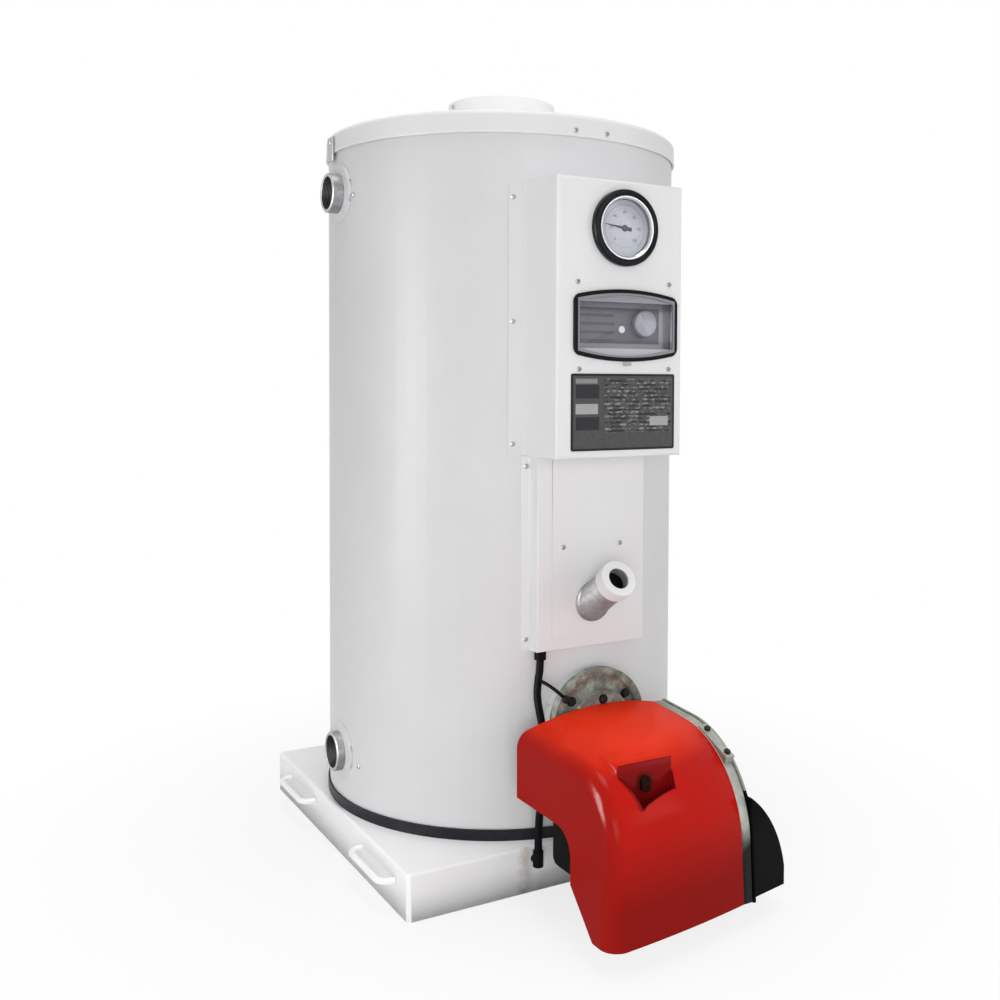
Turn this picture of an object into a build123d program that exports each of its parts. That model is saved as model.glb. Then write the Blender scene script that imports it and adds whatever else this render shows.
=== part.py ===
from build123d import *
import math
import os

# An upright hot-water boiler with a bolt-on burner. Millimetres, +Z up.
# The origin is the centre of the base's underside. The front, with the burner, faces -Y.

# Clearances
skin_gap = 0.3
seam = 0.6
overcut = 1

# Base and jacket
jacket_radius = 280
jacket_wall = 2
jacket_top = 1104.7
base_margin = 10
base_side = 2 * (jacket_radius + base_margin)
base_height = 65
base_corner_radius = 6
base_edge_radius = 4

# Rubber edging round the jacket's foot
trim_height = 16
trim_floor = 4
trim_lip = 2.7

# Carrying handles on the base's sides
handle_rod = 9
handle_length = 124
handle_reach = 22
handle_bend = 17
handle_height = 43
handle_front_inset = 105
handle_back_inset = 138
handle_places = {"front": handle_front_inset - base_side / 2, "back": base_side / 2 - handle_back_inset}

# Lid and flue
lid_wall = 3
lid_gap = 0.6
lid_rise = 3.3
lid_skirt = 32
lid_edge_radius = 9
lid_top = jacket_top + lid_rise
lid_skirt_bottom = lid_top - lid_skirt
flue_radius = 87
flue_wall = 3
flue_rise = 66
flue_top = lid_top + flue_rise
flue_depth = 250
flue_shoulder = 5
flue_bead = 3
flue_bead_height = 9

# Water connections on the left side
socket_radius = 30
socket_bore = 24
socket_bevel = 1.5
supply_height = 1010
supply_reach = 20
return_height = 150
return_reach = 15
escutcheon_radius = 45
escutcheon_thickness = 2.5

# Control box: what it carries stacks up from its bottom edge
sheet = 2
flange_lap = 2
box_reach = 81
box_front = jacket_radius + box_reach
box_bottom = 620
box_side_margin = 17.5
box_head = 12.5
box_flange = 18
box_bend = 5

# Data plate
data_plate_x = 4
data_plate_height = 106
data_plate_gap = 10
data_plate_corner = 3
data_plate_thickness = 1.2
data_plate_bottom = box_bottom + data_plate_gap
data_plate_top = data_plate_bottom + data_plate_height

# Controller behind its window
window_x = 7
window_width = 172
window_height = 100
window_gap = 17
window_bulge = 10
window_corner = 12
window_rim = 8
window_proud = 4
window_edge = 1.5
face_depth = 13
control_depth = 36
tray_wall = 3
knob_x = 44
knob_rise = 54
knob_radius = 18
knob_length = 9
knob_edge = 2
lamp_x = 7
lamp_rise = 45
lamp_radius = 5
lamp_length = 3
window_bottom = data_plate_top + window_gap
window_top = window_bottom + window_height
box_half_width = window_width / 2 + box_side_margin

# Thermometer
gauge_x = 3
gauge_gap = 31.5
gauge_radius = 53
gauge_lip = 9
gauge_edge = 3
gauge_barrel = 48
gauge_barrel_depth = 32
gauge_opening = 43.8
gauge_ring_width = 3.9
gauge_ring_bevel = 2
dial_thickness = 1
hub_radius = 4.5
needle_length = 33
needle_tail = 11
needle_width = 2.6
needle_thickness = 1.5
needle_angle = 172
glass_thickness = 2
glass_lift = 4
gauge_height = window_top + gauge_gap + gauge_radius
box_top = gauge_height + gauge_radius + box_head

# Burner mounting, at the height that keeps the hood clear of the floor
hood_bottom = 33
hood_drop = 203
neck_reach = 16
neck_front = jacket_radius + neck_reach
neck_radius = 70
flange_radius = 76
flange_thickness = 14
flange_rim = 11
flange_recess = 4
blast_radius = 38
blast_wall = 2.5
blast_inside = 70
boss_radius = 46
boss_length = 11
burner_height = hood_bottom + hood_drop
flange_front = neck_front + flange_thickness

# Lower panel between the control box and the burner
panel_reach = 8
panel_front = jacket_radius + panel_reach
panel_half_width = 91
panel_clearance = 28
panel_flange = 13
panel_bend = 3
panel_bottom = burner_height + flange_radius + panel_clearance
panel_top = box_bottom - seam

# Flame sight port
port_half_width = 68
port_foot = 18
port_plate_thickness = 1.5
port_corner = 3
sight_foot = 48
sight_rise = 32.5
sight_length = 77
sight_radius = 24
sight_root_radius = 29
sight_root_thickness = 3
sight_bore = 15.5
sight_stop = 20
sight_ring_wall = 2.2
sight_ring_length = 20
sight_mouth = 4
sight_glass_depth = 12
port_plate_bottom = panel_bottom + port_foot
sight_root_height = port_plate_bottom + sight_foot

# Burner hood: its side outline at the left, in the middle and at the right
hood_gap = 8
hood_back = flange_front + hood_gap
hood_left = -140
hood_width = 230
hood_middle_width = 119
hood_wall = 3
left_rear_rise = 2
left_roof_rise = 10
left_depth = 239
left_foot = 238
left_nose = 90
middle_rear_rise = 26
middle_roof_rise = 15
middle_depth = 229
middle_foot = 227
middle_nose = 98
right_rear_rise = 17
right_roof_rise = 4
right_depth = 195
right_foot = 209
right_nose = 140
hood_edge_radius = 24
arm_drop = 84
arm_radius = 34
leg_depth = 143
leg_chin = 53
hood_right = hood_left + hood_width
leg_back = hood_back + leg_depth
arm_bottom = burner_height - arm_drop

# Brow and pocket in the hood, for the reset button
brow_left = -104
brow_width = 82
brow_rise = 12.5
brow_depth = 196
brow_length = 55
brow_height = 50
pocket_drop = 56
pocket_near_x = -86
pocket_near_depth = 31
pocket_far_x = -28
pocket_far_depth = 17
button_x = -64
button_drop = 16
button_width = 13
button_height = 20
button_corner = 6
button_length = 6
brow_front = hood_back + brow_depth
brow_top = burner_height + brow_rise
brow_right = brow_left + brow_width
pocket_floor = burner_height - pocket_drop

# Fan casing, its rim against the hood, and the motor
fan_depth = 96
fan_drop = 98
fan_y = hood_back + fan_depth
fan_z = burner_height - fan_drop
scroll_radius = 88
scroll_left = 20
rim_width = 16
rim_edge = 2
throat_left = -38
throat_right = 60
throat_drop = 2
throat_height = 58
throat_length = 34
motor_width = 62
motor_height = 96
motor_ahead = 10
motor_lower = 5
motor_corner = 14
motor_left = -128
motor_cap = 4
throat_top = burner_height - throat_drop
scroll_right = hood_right + rim_width

# Lug with two bolt seats on the rim's shoulder
lug_length = 68
lug_depth = 137
lug_drop = 4
lug_thickness = 24
lug_angle = 24

# Air intake beside the casing
intake_lap = 1.5
intake_plate = 3
intake_width = 72
intake_crown = 138
intake_shoulder = 90
intake_side = 26
intake_bow_x = 46
intake_depth_back = 18
intake_depth_left = 202
intake_depth_right = 188
intake_bottom = hood_bottom
intake_back = hood_back + intake_depth_back
intake_right = scroll_right + intake_width

# Leads and their glands. A way gives each point's x, its y in front of the jacket, and its
# height above the burner's axis. Below that axis a share of the height left replaces the height.
bend_share = 0.45
lead_diameter = 11
lead_way = (
    (-81, -2, 78),
    (-85.5, 0, 62),
    (-90, 5, 43),
    (-90.5, 13, 22),
    (-88, 19.5, -2),
)
lead_low_way = (
    (-88, 24, 0.8),
    (-92.5, 25, 0.5),
    (-96, 21, 0.21),
)
panel_gland_x = -81
panel_gland_inset = 10
panel_gland_radius = 8.5
panel_gland_length = 12
base_gland_x = -96
base_gland_reach = 11
base_gland_radius = 7.5
base_gland_top = 62
base_gland_length = 22
spigot_radius = 6
spigot_drop = 14
branch_diameter = 5
branch_way = (
    (-82.9, 7, 62),
    (-80, 17, 60),
    (-74, 26.5, 54.5),
    (-68.5, 31.5, 49),
    (-62.9, 33.2, 43.7),
)
terminal_angle = 146
terminal_radius = 5.5
terminal_length = 6


def finish(piece, name):
    piece.part.label = name
    export_step(piece.part, f"parts/{name}.step")


def bend_radii(points):
    """The radius of each bend: a share of the shorter run, over the tangent of half the turn."""
    radii = []
    for before, corner, after in zip(points, points[1:], points[2:]):
        first = Vector(*corner) - Vector(*before)
        second = Vector(*after) - Vector(*corner)
        half_turn = math.radians(first.get_angle(second) / 2)
        radii.append(bend_share * min(first.length, second.length) / math.tan(half_turn))
    return radii


def lead(points, diameter, name):
    """A round lead along straight runs that are joined by tangent arcs."""
    radii = bend_radii(points)
    with BuildPart() as cord:
        with BuildLine():
            route = FilletPolyline(*points, radius=radii)
        with BuildSketch(Plane(route @ 0, z_dir=route % 0)):
            Circle(diameter / 2)
        sweep()
    section = math.pi * diameter**2 / 4
    share = cord.part.volume / (section * route.length)
    print(name, "length", round(route.length, 1), "volume share", round(share, 4))
    print(name, "bend radii", [round(radius, 1) for radius in radii])
    finish(cord, name)


def round_skin(z_low, z_high, half_width, lap):
    """A strip of sheet lying on the front of the jacket."""
    inner = jacket_radius + skin_gap
    with BuildPart() as strip:
        with BuildSketch(Plane.XY.offset(z_low)):
            Circle(inner + lap)
            Circle(inner, mode=Mode.SUBTRACT)
            with Locations((0, -inner)):
                Rectangle(2 * half_width, inner, mode=Mode.INTERSECT)
        extrude(amount=z_high - z_low)
    return strip.part


def cover_box(z_low, z_high, half_width, front, grow):
    """The space between the jacket and a flat front, with its outer walls moved out by grow."""
    with BuildPart() as space:
        with BuildSketch(Plane.XY.offset(z_low - grow)):
            with Locations((0, -(front + grow) / 2)):
                Rectangle(2 * (half_width + grow), front + grow)
            Circle(jacket_radius + skin_gap, mode=Mode.SUBTRACT)
        extrude(amount=z_high - z_low + 2 * grow)
    return space.part


def front_block(outline, x, z, front, back):
    """A flat outline in the XZ plane, extruded from the back depth to the front depth."""
    with BuildPart() as block:
        with BuildSketch(Plane.XZ.offset(back)):
            with Locations((x, z)):
                add(outline)
        extrude(amount=front - back)
    return block.part


os.makedirs("parts", exist_ok=True)

# Base pan: a folded box with softened corners
with BuildPart() as base_pan:
    with BuildSketch():
        Rectangle(base_side, base_side)
    extrude(amount=base_height)
    fillet(base_pan.edges().filter_by(Axis.Z), base_corner_radius)
    fillet(base_pan.faces().sort_by(Axis.Z)[-1].edges(), base_edge_radius)
finish(base_pan, "base_pan")

# Handles: bows of round rod, two to a side
for side, sign in (("left", -1), ("right", 1)):
    for place, middle in handle_places.items():
        inner = sign * (base_side / 2 + skin_gap)
        outer = sign * (base_side / 2 + handle_reach)
        ends = (middle - handle_length / 2, middle + handle_length / 2)
        with BuildPart() as handle:
            with BuildLine() as bow:
                FilletPolyline(
                    (inner, ends[0], handle_height),
                    (outer, ends[0], handle_height),
                    (outer, ends[1], handle_height),
                    (inner, ends[1], handle_height),
                    radius=handle_bend,
                )
            with BuildSketch(Plane(bow.line @ 0, z_dir=bow.line % 0)):
                Circle(handle_rod / 2)
            sweep()
        finish(handle, f"base_handle_{place}_{side}")

# Foot edging: a channel of black rubber that the jacket's sheet stands in
channel_outer = jacket_radius + skin_gap
channel_inner = jacket_radius - jacket_wall - skin_gap
with BuildPart() as foot_trim:
    with BuildSketch(Plane.XY.offset(base_height)):
        Circle(channel_outer + trim_lip)
        Circle(channel_inner - trim_lip, mode=Mode.SUBTRACT)
    extrude(amount=trim_height)
    with BuildSketch(Plane.XY.offset(base_height + trim_floor)):
        Circle(channel_outer)
        Circle(channel_inner, mode=Mode.SUBTRACT)
    extrude(amount=trim_height, mode=Mode.SUBTRACT)
finish(foot_trim, "foot_trim")

# Jacket: one rolled sheet, cut for the two water sockets and the burner's tube
jacket_bottom = base_height + trim_floor
with BuildPart() as jacket:
    with BuildSketch(Plane.XY.offset(jacket_bottom)):
        Circle(jacket_radius)
        Circle(jacket_radius - jacket_wall, mode=Mode.SUBTRACT)
    extrude(amount=jacket_top - jacket_bottom)
    with BuildSketch(Plane.YZ):
        with Locations((0, supply_height), (0, return_height)):
            Circle(socket_radius + skin_gap)
    extrude(amount=-jacket_radius, mode=Mode.SUBTRACT)
    with BuildSketch(Plane.XZ):
        with Locations((0, burner_height)):
            Circle(blast_radius + skin_gap)
    extrude(amount=jacket_radius, mode=Mode.SUBTRACT)
finish(jacket, "jacket")

# Boiler body: the insulated vessel inside the jacket, with the flue passage in its top
body_radius = channel_inner - trim_lip - skin_gap
body_top = jacket_top - skin_gap
flue_bore = flue_radius - flue_wall
with BuildPart() as boiler_body:
    with BuildSketch(Plane.XY.offset(base_height)):
        Circle(body_radius)
    extrude(amount=body_top - base_height)
    with BuildSketch(Plane.XY.offset(body_top)):
        Circle(flue_bore - flue_shoulder)
    extrude(amount=-flue_depth, mode=Mode.SUBTRACT)
    with BuildSketch(Plane.XZ.offset(jacket_radius - blast_inside)):
        with Locations((0, burner_height)):
            Circle(blast_radius + skin_gap)
    extrude(amount=blast_inside, mode=Mode.SUBTRACT)
finish(boiler_body, "boiler_body")

# Lid: a shallow cap whose skirt laps the jacket
lid_radius = jacket_radius + lid_gap + lid_wall
with BuildPart() as lid:
    with BuildSketch(Plane.XY.offset(lid_skirt_bottom)):
        Circle(lid_radius)
    extrude(amount=lid_skirt)
    fillet(lid.faces().sort_by(Axis.Z)[-1].edges(), lid_edge_radius)
    with BuildSketch(Plane.XY.offset(lid_skirt_bottom)):
        Circle(lid_radius - lid_wall)
    extrude(amount=lid_skirt - lid_wall, mode=Mode.SUBTRACT)
    with BuildSketch(Plane.XY.offset(lid_top)):
        Circle(flue_radius + skin_gap)
    extrude(amount=-lid_wall, mode=Mode.SUBTRACT)
finish(lid, "lid")

# Flue collar: a short round outlet with a rolled bead
with BuildPart() as flue_collar:
    with BuildSketch(Plane.XZ):
        with BuildLine():
            Polyline(
                (flue_bore, body_top + skin_gap),
                (flue_radius, body_top + skin_gap),
                (flue_radius, lid_top + skin_gap),
                (flue_radius + flue_bead, lid_top + skin_gap),
                (flue_radius + flue_bead, lid_top + flue_bead_height),
                (flue_radius, lid_top + flue_bead_height + flue_bead),
                (flue_radius, flue_top),
                (flue_bore, flue_top),
                close=True,
            )
        make_face()
    revolve(axis=Axis.Z)
finish(flue_collar, "flue_collar")

# Water sockets: short pipe ends with a bevelled mouth, each with a round plate on the jacket
for name, height, reach in (
    ("supply", supply_height, supply_reach),
    ("return", return_height, return_reach),
):
    root = body_radius + skin_gap
    mouth = jacket_radius + reach
    with BuildPart() as socket:
        with BuildSketch(Plane.YZ.offset(-root)):
            with Locations((0, height)):
                Circle(socket_radius)
                Circle(socket_bore, mode=Mode.SUBTRACT)
        extrude(amount=root - mouth)
        chamfer(socket.faces().sort_by(Axis.X)[0].edges(), socket_bevel)
    finish(socket, f"{name}_socket")
    with BuildPart() as escutcheon:
        with BuildSketch(Plane.YZ):
            with Locations((0, height)):
                Circle(escutcheon_radius)
                Circle(socket_radius + skin_gap, mode=Mode.SUBTRACT)
        extrude(amount=-(jacket_radius + escutcheon_thickness))
        with BuildSketch(Plane.XY.offset(height - escutcheon_radius)):
            Circle(jacket_radius + skin_gap)
        extrude(amount=2 * escutcheon_radius, mode=Mode.SUBTRACT)
    finish(escutcheon, f"{name}_escutcheon")

# Control box: a folded cover with a screwed flange down each side
window_center = (window_bottom + window_top) / 2


def window_outline(grow):
    """A rounded rectangle with bowed top and bottom edges."""
    half_width = window_width / 2 + grow
    half_height = window_height / 2 + grow
    shoulder = half_height - window_bulge
    with BuildSketch() as outline:
        with BuildLine():
            top = ThreePointArc((-half_width, shoulder), (0, half_height), (half_width, shoulder))
            right = Line(top @ 1, (half_width, -shoulder))
            bottom = ThreePointArc(right @ 1, (0, -half_height), (-half_width, -shoulder))
            Line(bottom @ 1, top @ 0)
        make_face()
        fillet(outline.vertices(), window_corner + grow)
    return outline.sketch_local


mask_width = window_width - 2 * window_rim
mask_height = window_height - 2 * (window_rim + window_bulge)
with BuildPart() as control_box:
    add(cover_box(box_bottom, box_top, box_half_width, box_front, 0))
    fillet(control_box.faces().sort_by(Axis.Y)[0].edges(), box_bend)
    add(round_skin(box_bottom, box_top, box_half_width + box_flange, flange_lap))
    add(cover_box(box_bottom, box_top, box_half_width, box_front, -sheet), mode=Mode.SUBTRACT)
    with BuildSketch(Plane.XZ.offset(box_front)):
        with Locations((gauge_x, gauge_height)):
            Circle(gauge_barrel + skin_gap)
        with Locations((window_x, window_center)):
            Rectangle(mask_width, mask_height)
    extrude(amount=-sheet, mode=Mode.SUBTRACT)
finish(control_box, "control_box")

# Thermometer: case, bright ring, dial, needle and glass
gauge_floor = box_front + skin_gap
with BuildPart() as gauge_case:
    with BuildSketch(Plane.XZ.offset(gauge_floor)):
        with Locations((gauge_x, gauge_height)):
            Circle(gauge_radius)
    extrude(amount=gauge_lip)
    fillet(gauge_case.faces().sort_by(Axis.Y)[0].edges(), gauge_edge)
    with BuildSketch(Plane.XZ.offset(gauge_floor)):
        with Locations((gauge_x, gauge_height)):
            Circle(gauge_barrel)
    extrude(amount=-gauge_barrel_depth)
    with BuildSketch(Plane.XZ.offset(gauge_floor + gauge_lip)):
        with Locations((gauge_x, gauge_height)):
            Circle(gauge_opening)
    extrude(amount=-gauge_lip, mode=Mode.SUBTRACT)
finish(gauge_case, "gauge_case")

ring_radius = gauge_opening - skin_gap
ring_bore = ring_radius - gauge_ring_width
with BuildPart() as gauge_ring:
    with BuildSketch(Plane.XZ.offset(gauge_floor)):
        with Locations((gauge_x, gauge_height)):
            Circle(ring_radius)
            Circle(ring_bore, mode=Mode.SUBTRACT)
    extrude(amount=gauge_lip)
    ring_face = gauge_ring.faces().sort_by(Axis.Y)[0]
    chamfer(ring_face.edges().sort_by(SortBy.RADIUS)[0], gauge_ring_bevel)
finish(gauge_ring, "gauge_ring")

with BuildPart() as gauge_dial:
    with BuildSketch(Plane.XZ.offset(gauge_floor)):
        with Locations((gauge_x, gauge_height)):
            Circle(ring_bore - skin_gap)
    extrude(amount=dial_thickness)
finish(gauge_dial, "gauge_dial")

with BuildPart() as gauge_needle:
    needle_turn = math.radians(needle_angle)
    needle_plane = Plane(
        (gauge_x, -gauge_floor - dial_thickness, gauge_height),
        x_dir=(math.cos(needle_turn), 0, math.sin(needle_turn)),
        z_dir=(0, -1, 0),
    )
    with BuildSketch(needle_plane):
        Circle(hub_radius)
        with BuildLine():
            Polyline(
                (needle_length, 0),
                (-needle_tail, needle_width),
                (-needle_tail, -needle_width),
                close=True,
            )
        make_face()
    extrude(amount=needle_thickness)
finish(gauge_needle, "gauge_needle")

with BuildPart() as gauge_glass:
    with BuildSketch(Plane.XZ.offset(gauge_floor + glass_lift)):
        with Locations((gauge_x, gauge_height)):
            Circle(ring_bore - skin_gap)
    extrude(amount=glass_thickness)
finish(gauge_glass, "gauge_glass")

# Controller: black frame, face with a knob and a lamp, smoked cover
frame_back = box_front + skin_gap
frame_front = frame_back + window_proud
with BuildPart() as controller_frame:
    add(front_block(window_outline(0), window_x, window_center, frame_front, frame_back))
    fillet(controller_frame.faces().sort_by(Axis.Y)[0].edges(), window_edge)
    add(
        front_block(window_outline(-window_rim), window_x, window_center, frame_front, frame_back),
        mode=Mode.SUBTRACT,
    )
finish(controller_frame, "controller_frame")

face_front = box_front - face_depth
with BuildPart() as controller_face:
    with BuildSketch(Plane.XZ.offset(box_front - sheet)):
        with Locations((window_x, window_center)):
            Rectangle(mask_width + 2 * tray_wall, mask_height + 2 * tray_wall)
    extrude(amount=-control_depth)
    with BuildSketch(Plane.XZ.offset(face_front)):
        with Locations((window_x, window_center)):
            Rectangle(mask_width, mask_height)
    extrude(amount=face_depth, mode=Mode.SUBTRACT)
finish(controller_face, "controller_face")

with BuildPart() as controller_knob:
    with BuildSketch(Plane.XZ.offset(face_front)):
        with Locations((knob_x, window_bottom + knob_rise)):
            Circle(knob_radius)
    extrude(amount=knob_length)
    fillet(controller_knob.faces().sort_by(Axis.Y)[0].edges(), knob_edge)
finish(controller_knob, "controller_knob")

with BuildPart() as controller_lamp:
    with BuildSketch(Plane.XZ.offset(face_front)):
        with Locations((lamp_x, window_bottom + lamp_rise)):
            Circle(lamp_radius)
    extrude(amount=lamp_length)
finish(controller_lamp, "controller_lamp")

cover_outline = window_outline(-window_rim - skin_gap)
with BuildPart() as controller_cover:
    add(front_block(cover_outline, window_x, window_center, frame_back + glass_thickness, frame_back))
finish(controller_cover, "controller_cover")

# Data plate: a thin bare plate, as wide as the controller's frame
with BuildPart() as data_plate:
    with BuildSketch(Plane.XZ.offset(box_front)):
        with Locations((data_plate_x, (data_plate_bottom + data_plate_top) / 2)):
            RectangleRounded(window_width, data_plate_height, data_plate_corner)
    extrude(amount=data_plate_thickness)
finish(data_plate, "data_plate")

# Lower panel: a shallow cover between the control box and the burner
with BuildPart() as lower_panel:
    add(cover_box(panel_bottom, panel_top, panel_half_width, panel_front, 0))
    fillet(lower_panel.faces().sort_by(Axis.Y)[0].edges(), panel_bend)
    add(round_skin(panel_bottom, panel_top, panel_half_width + panel_flange, flange_lap))
    add(
        cover_box(panel_bottom, panel_top, panel_half_width, panel_front, -sheet),
        mode=Mode.SUBTRACT,
    )
finish(lower_panel, "lower_panel")

# Burner neck: the round stub on the jacket that the burner's flange is bolted to
with BuildPart() as burner_neck:
    with BuildSketch(Plane.XZ):
        with Locations((0, burner_height)):
            Circle(neck_radius)
            Circle(blast_radius + skin_gap, mode=Mode.SUBTRACT)
    extrude(amount=neck_front)
    with BuildSketch():
        Circle(jacket_radius + skin_gap)
    extrude(amount=jacket_top, mode=Mode.SUBTRACT)
finish(burner_neck, "burner_neck")

# Port plate and the sloping sight tube, which is drawn on a plane square to its own axis
with BuildPart() as port_plate:
    with BuildSketch(Plane.XZ.offset(panel_front)):
        with Locations((0, (port_plate_bottom + panel_top) / 2)):
            RectangleRounded(2 * port_half_width, panel_top - port_plate_bottom, port_corner)
    extrude(amount=port_plate_thickness)
finish(port_plate, "port_plate")

port_face = panel_front + port_plate_thickness
slope = math.radians(sight_rise)
sight_direction = Vector(0, -math.cos(slope), math.sin(slope))
sight_root = Vector(0, -port_face, sight_root_height)
sight_plane = Plane(sight_root, x_dir=(1, 0, 0), z_dir=sight_direction)
sight_sink = sight_root_radius * math.tan(slope)
with BuildPart() as sight_tube:
    with BuildSketch(sight_plane.offset(-sight_sink)):
        Circle(sight_radius)
    extrude(amount=sight_sink + sight_length)
    with BuildSketch(Plane.XZ.offset(port_face)):
        with Locations((0, sight_root_height)):
            Circle(sight_root_radius)
    extrude(amount=sight_root_thickness)
    with BuildSketch(sight_plane.offset(sight_length)):
        Circle(sight_bore)
    extrude(amount=sight_stop - sight_length, mode=Mode.SUBTRACT)
    split(bisect_by=Plane.XZ.offset(port_face), keep=Keep.TOP)
finish(sight_tube, "sight_tube")

sight_end = sight_length + sight_mouth
with BuildPart() as sight_ring:
    with BuildSketch(sight_plane.offset(sight_end - sight_ring_length)):
        Circle(sight_radius + skin_gap + sight_ring_wall)
    extrude(amount=sight_ring_length)
    with BuildSketch(sight_plane.offset(sight_length + skin_gap)):
        Circle(sight_radius + skin_gap)
    extrude(amount=-sight_ring_length, mode=Mode.SUBTRACT)
    with BuildSketch(sight_plane.offset(sight_end)):
        Circle(sight_bore)
    extrude(amount=-sight_mouth, mode=Mode.SUBTRACT)
finish(sight_ring, "sight_ring")

with BuildPart() as sight_glass:
    with BuildSketch(sight_plane.offset(sight_length - sight_glass_depth)):
        Circle(sight_bore - skin_gap)
    extrude(amount=-glass_thickness)
finish(sight_glass, "sight_glass")

# Burner flange with a raised rim, and the tube that blows into the furnace
flange_floor = flange_front - flange_recess
with BuildPart() as burner_flange:
    with BuildSketch(Plane.XZ.offset(neck_front)):
        with Locations((0, burner_height)):
            Circle(flange_radius)
    extrude(amount=flange_thickness)
    with BuildSketch(Plane.XZ.offset(flange_front)):
        with Locations((0, burner_height)):
            Circle(flange_radius - flange_rim)
    extrude(amount=-flange_recess, mode=Mode.SUBTRACT)
    with BuildSketch(Plane.XZ.offset(flange_floor)):
        with Locations((0, burner_height)):
            Circle(boss_radius)
    extrude(amount=boss_length)
    with BuildSketch(Plane.XZ.offset(neck_front)):
        with Locations((0, burner_height)):
            Circle(blast_radius + skin_gap)
    extrude(amount=flange_floor - neck_front, mode=Mode.SUBTRACT)
finish(burner_flange, "burner_flange")

boss_front = flange_floor + boss_length
blast_back = jacket_radius - blast_inside + skin_gap
with BuildPart() as blast_tube:
    with BuildSketch(Plane.XZ.offset(blast_back)):
        with Locations((0, burner_height)):
            Circle(blast_radius)
            Circle(blast_radius - blast_wall, mode=Mode.SUBTRACT)
    extrude(amount=flange_floor - skin_gap - blast_back)
finish(blast_tube, "blast_tube")


# Burner hood: a moulding lofted through three side outlines, with a brow over its pocket
def hood_outline(rear_rise, roof_rise, depth, foot, nose, inset, back, bottom):
    """One side outline, drawn from the back edge over the roof and down the front."""
    corner = (inset - hood_back - depth, burner_height + roof_rise - inset)
    with BuildSketch() as outline:
        with BuildLine():
            Polyline(
                (-back, bottom),
                (-back, burner_height + rear_rise - inset),
                corner,
                (inset - hood_back - foot, bottom),
                close=True,
            )
        make_face()
        fillet(outline.vertices().sort_by_distance(corner)[0], nose - inset)
    return outline.sketch_local


def right_outline(inset, back, bottom):
    return hood_outline(
        right_rear_rise, right_roof_rise, right_depth, right_foot, right_nose, inset, back, bottom
    )


def hood_form(inset, right, back, bottom):
    with BuildPart() as form:
        with BuildSketch(Plane.YZ.offset(hood_left + inset)):
            add(
                hood_outline(
                    left_rear_rise, left_roof_rise, left_depth, left_foot, left_nose,
                    inset, back, bottom,
                )
            )
        with BuildSketch(Plane.YZ.offset(hood_left + hood_middle_width)):
            add(
                hood_outline(
                    middle_rear_rise, middle_roof_rise, middle_depth, middle_foot, middle_nose,
                    inset, back, bottom,
                )
            )
        with BuildSketch(Plane.YZ.offset(right)):
            add(right_outline(inset, back, bottom))
        loft()
        left_edges = form.faces().sort_by(Axis.X)[0].edges().sort_by(Axis.Z)[1:]
        fillet(left_edges.sort_by(Axis.Y)[:-1], hood_edge_radius - inset)
    return form.part


def brow_form(inset):
    """The roof running straight on over the nose, above the pocket."""
    with BuildPart() as brow:
        with BuildSketch(Plane.YZ.offset(brow_left + inset)):
            with Locations((inset - brow_front, brow_top - inset)):
                Rectangle(brow_length - inset, brow_height, align=(Align.MIN, Align.MAX))
        extrude(amount=brow_width - 2 * inset)
    return brow.part


def pocket_form(grow):
    """The pit in front of the brow, a blunt V seen from above."""
    with BuildPart() as pocket:
        with BuildSketch(Plane.XY.offset(pocket_floor - grow)) as plan:
            with BuildLine():
                Polyline(
                    (brow_left, -brow_front),
                    (brow_right, -brow_front),
                    (pocket_far_x, -brow_front - pocket_far_depth),
                    (pocket_near_x, -brow_front - pocket_near_depth),
                    close=True,
                )
            make_face()
            if grow > 0:
                offset(plan.sketch_local, amount=grow, kind=Kind.INTERSECTION)
        extrude(amount=brow_top - pocket_floor + grow + overcut)
    return pocket.part


with BuildPart() as hood_cavity:
    add(hood_form(hood_wall, hood_right + overcut, hood_back - overcut, hood_bottom - overcut))
    add(brow_form(hood_wall))
    add(pocket_form(hood_wall), mode=Mode.SUBTRACT)
with BuildPart() as hood:
    add(hood_form(0, hood_right, hood_back, hood_bottom))
    add(brow_form(0))
    add(pocket_form(0), mode=Mode.SUBTRACT)
    add(hood_cavity.part, mode=Mode.SUBTRACT)
    with BuildSketch(Plane.YZ.offset(hood_left - overcut)) as arch:
        corner = (-leg_back, arm_bottom)
        with BuildLine():
            Polyline(
                (overcut - hood_back, hood_bottom - overcut),
                (overcut - hood_back, arm_bottom),
                corner,
                (-leg_back, hood_bottom + leg_chin),
                (-leg_back - leg_chin - overcut, hood_bottom - overcut),
                close=True,
            )
        make_face()
        fillet(arch.vertices().sort_by_distance(corner)[0], arm_radius)
    extrude(amount=hood_width + 2 * overcut, mode=Mode.SUBTRACT)
finish(hood, "hood")

with BuildPart() as reset_button:
    with BuildSketch(Plane.XZ.offset(brow_front + skin_gap)):
        with Locations((button_x, burner_height - button_drop)):
            RectangleRounded(button_width, button_height, button_corner)
    extrude(amount=button_length)
finish(reset_button, "reset_button")


# Fan casing: a scroll under the hood, and a rim that closes the hood's right side
def casing_outline(grow):
    """The hood's right outline, with its lower back corner rounded as the scroll is."""
    with BuildSketch() as outline:
        add(right_outline(0, hood_back, hood_bottom))
        fillet(outline.vertices().sort_by_distance((-hood_back, hood_bottom))[0], scroll_radius)
        if grow > 0:
            offset(outline.sketch_local, amount=grow)
    return outline.sketch_local


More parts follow.
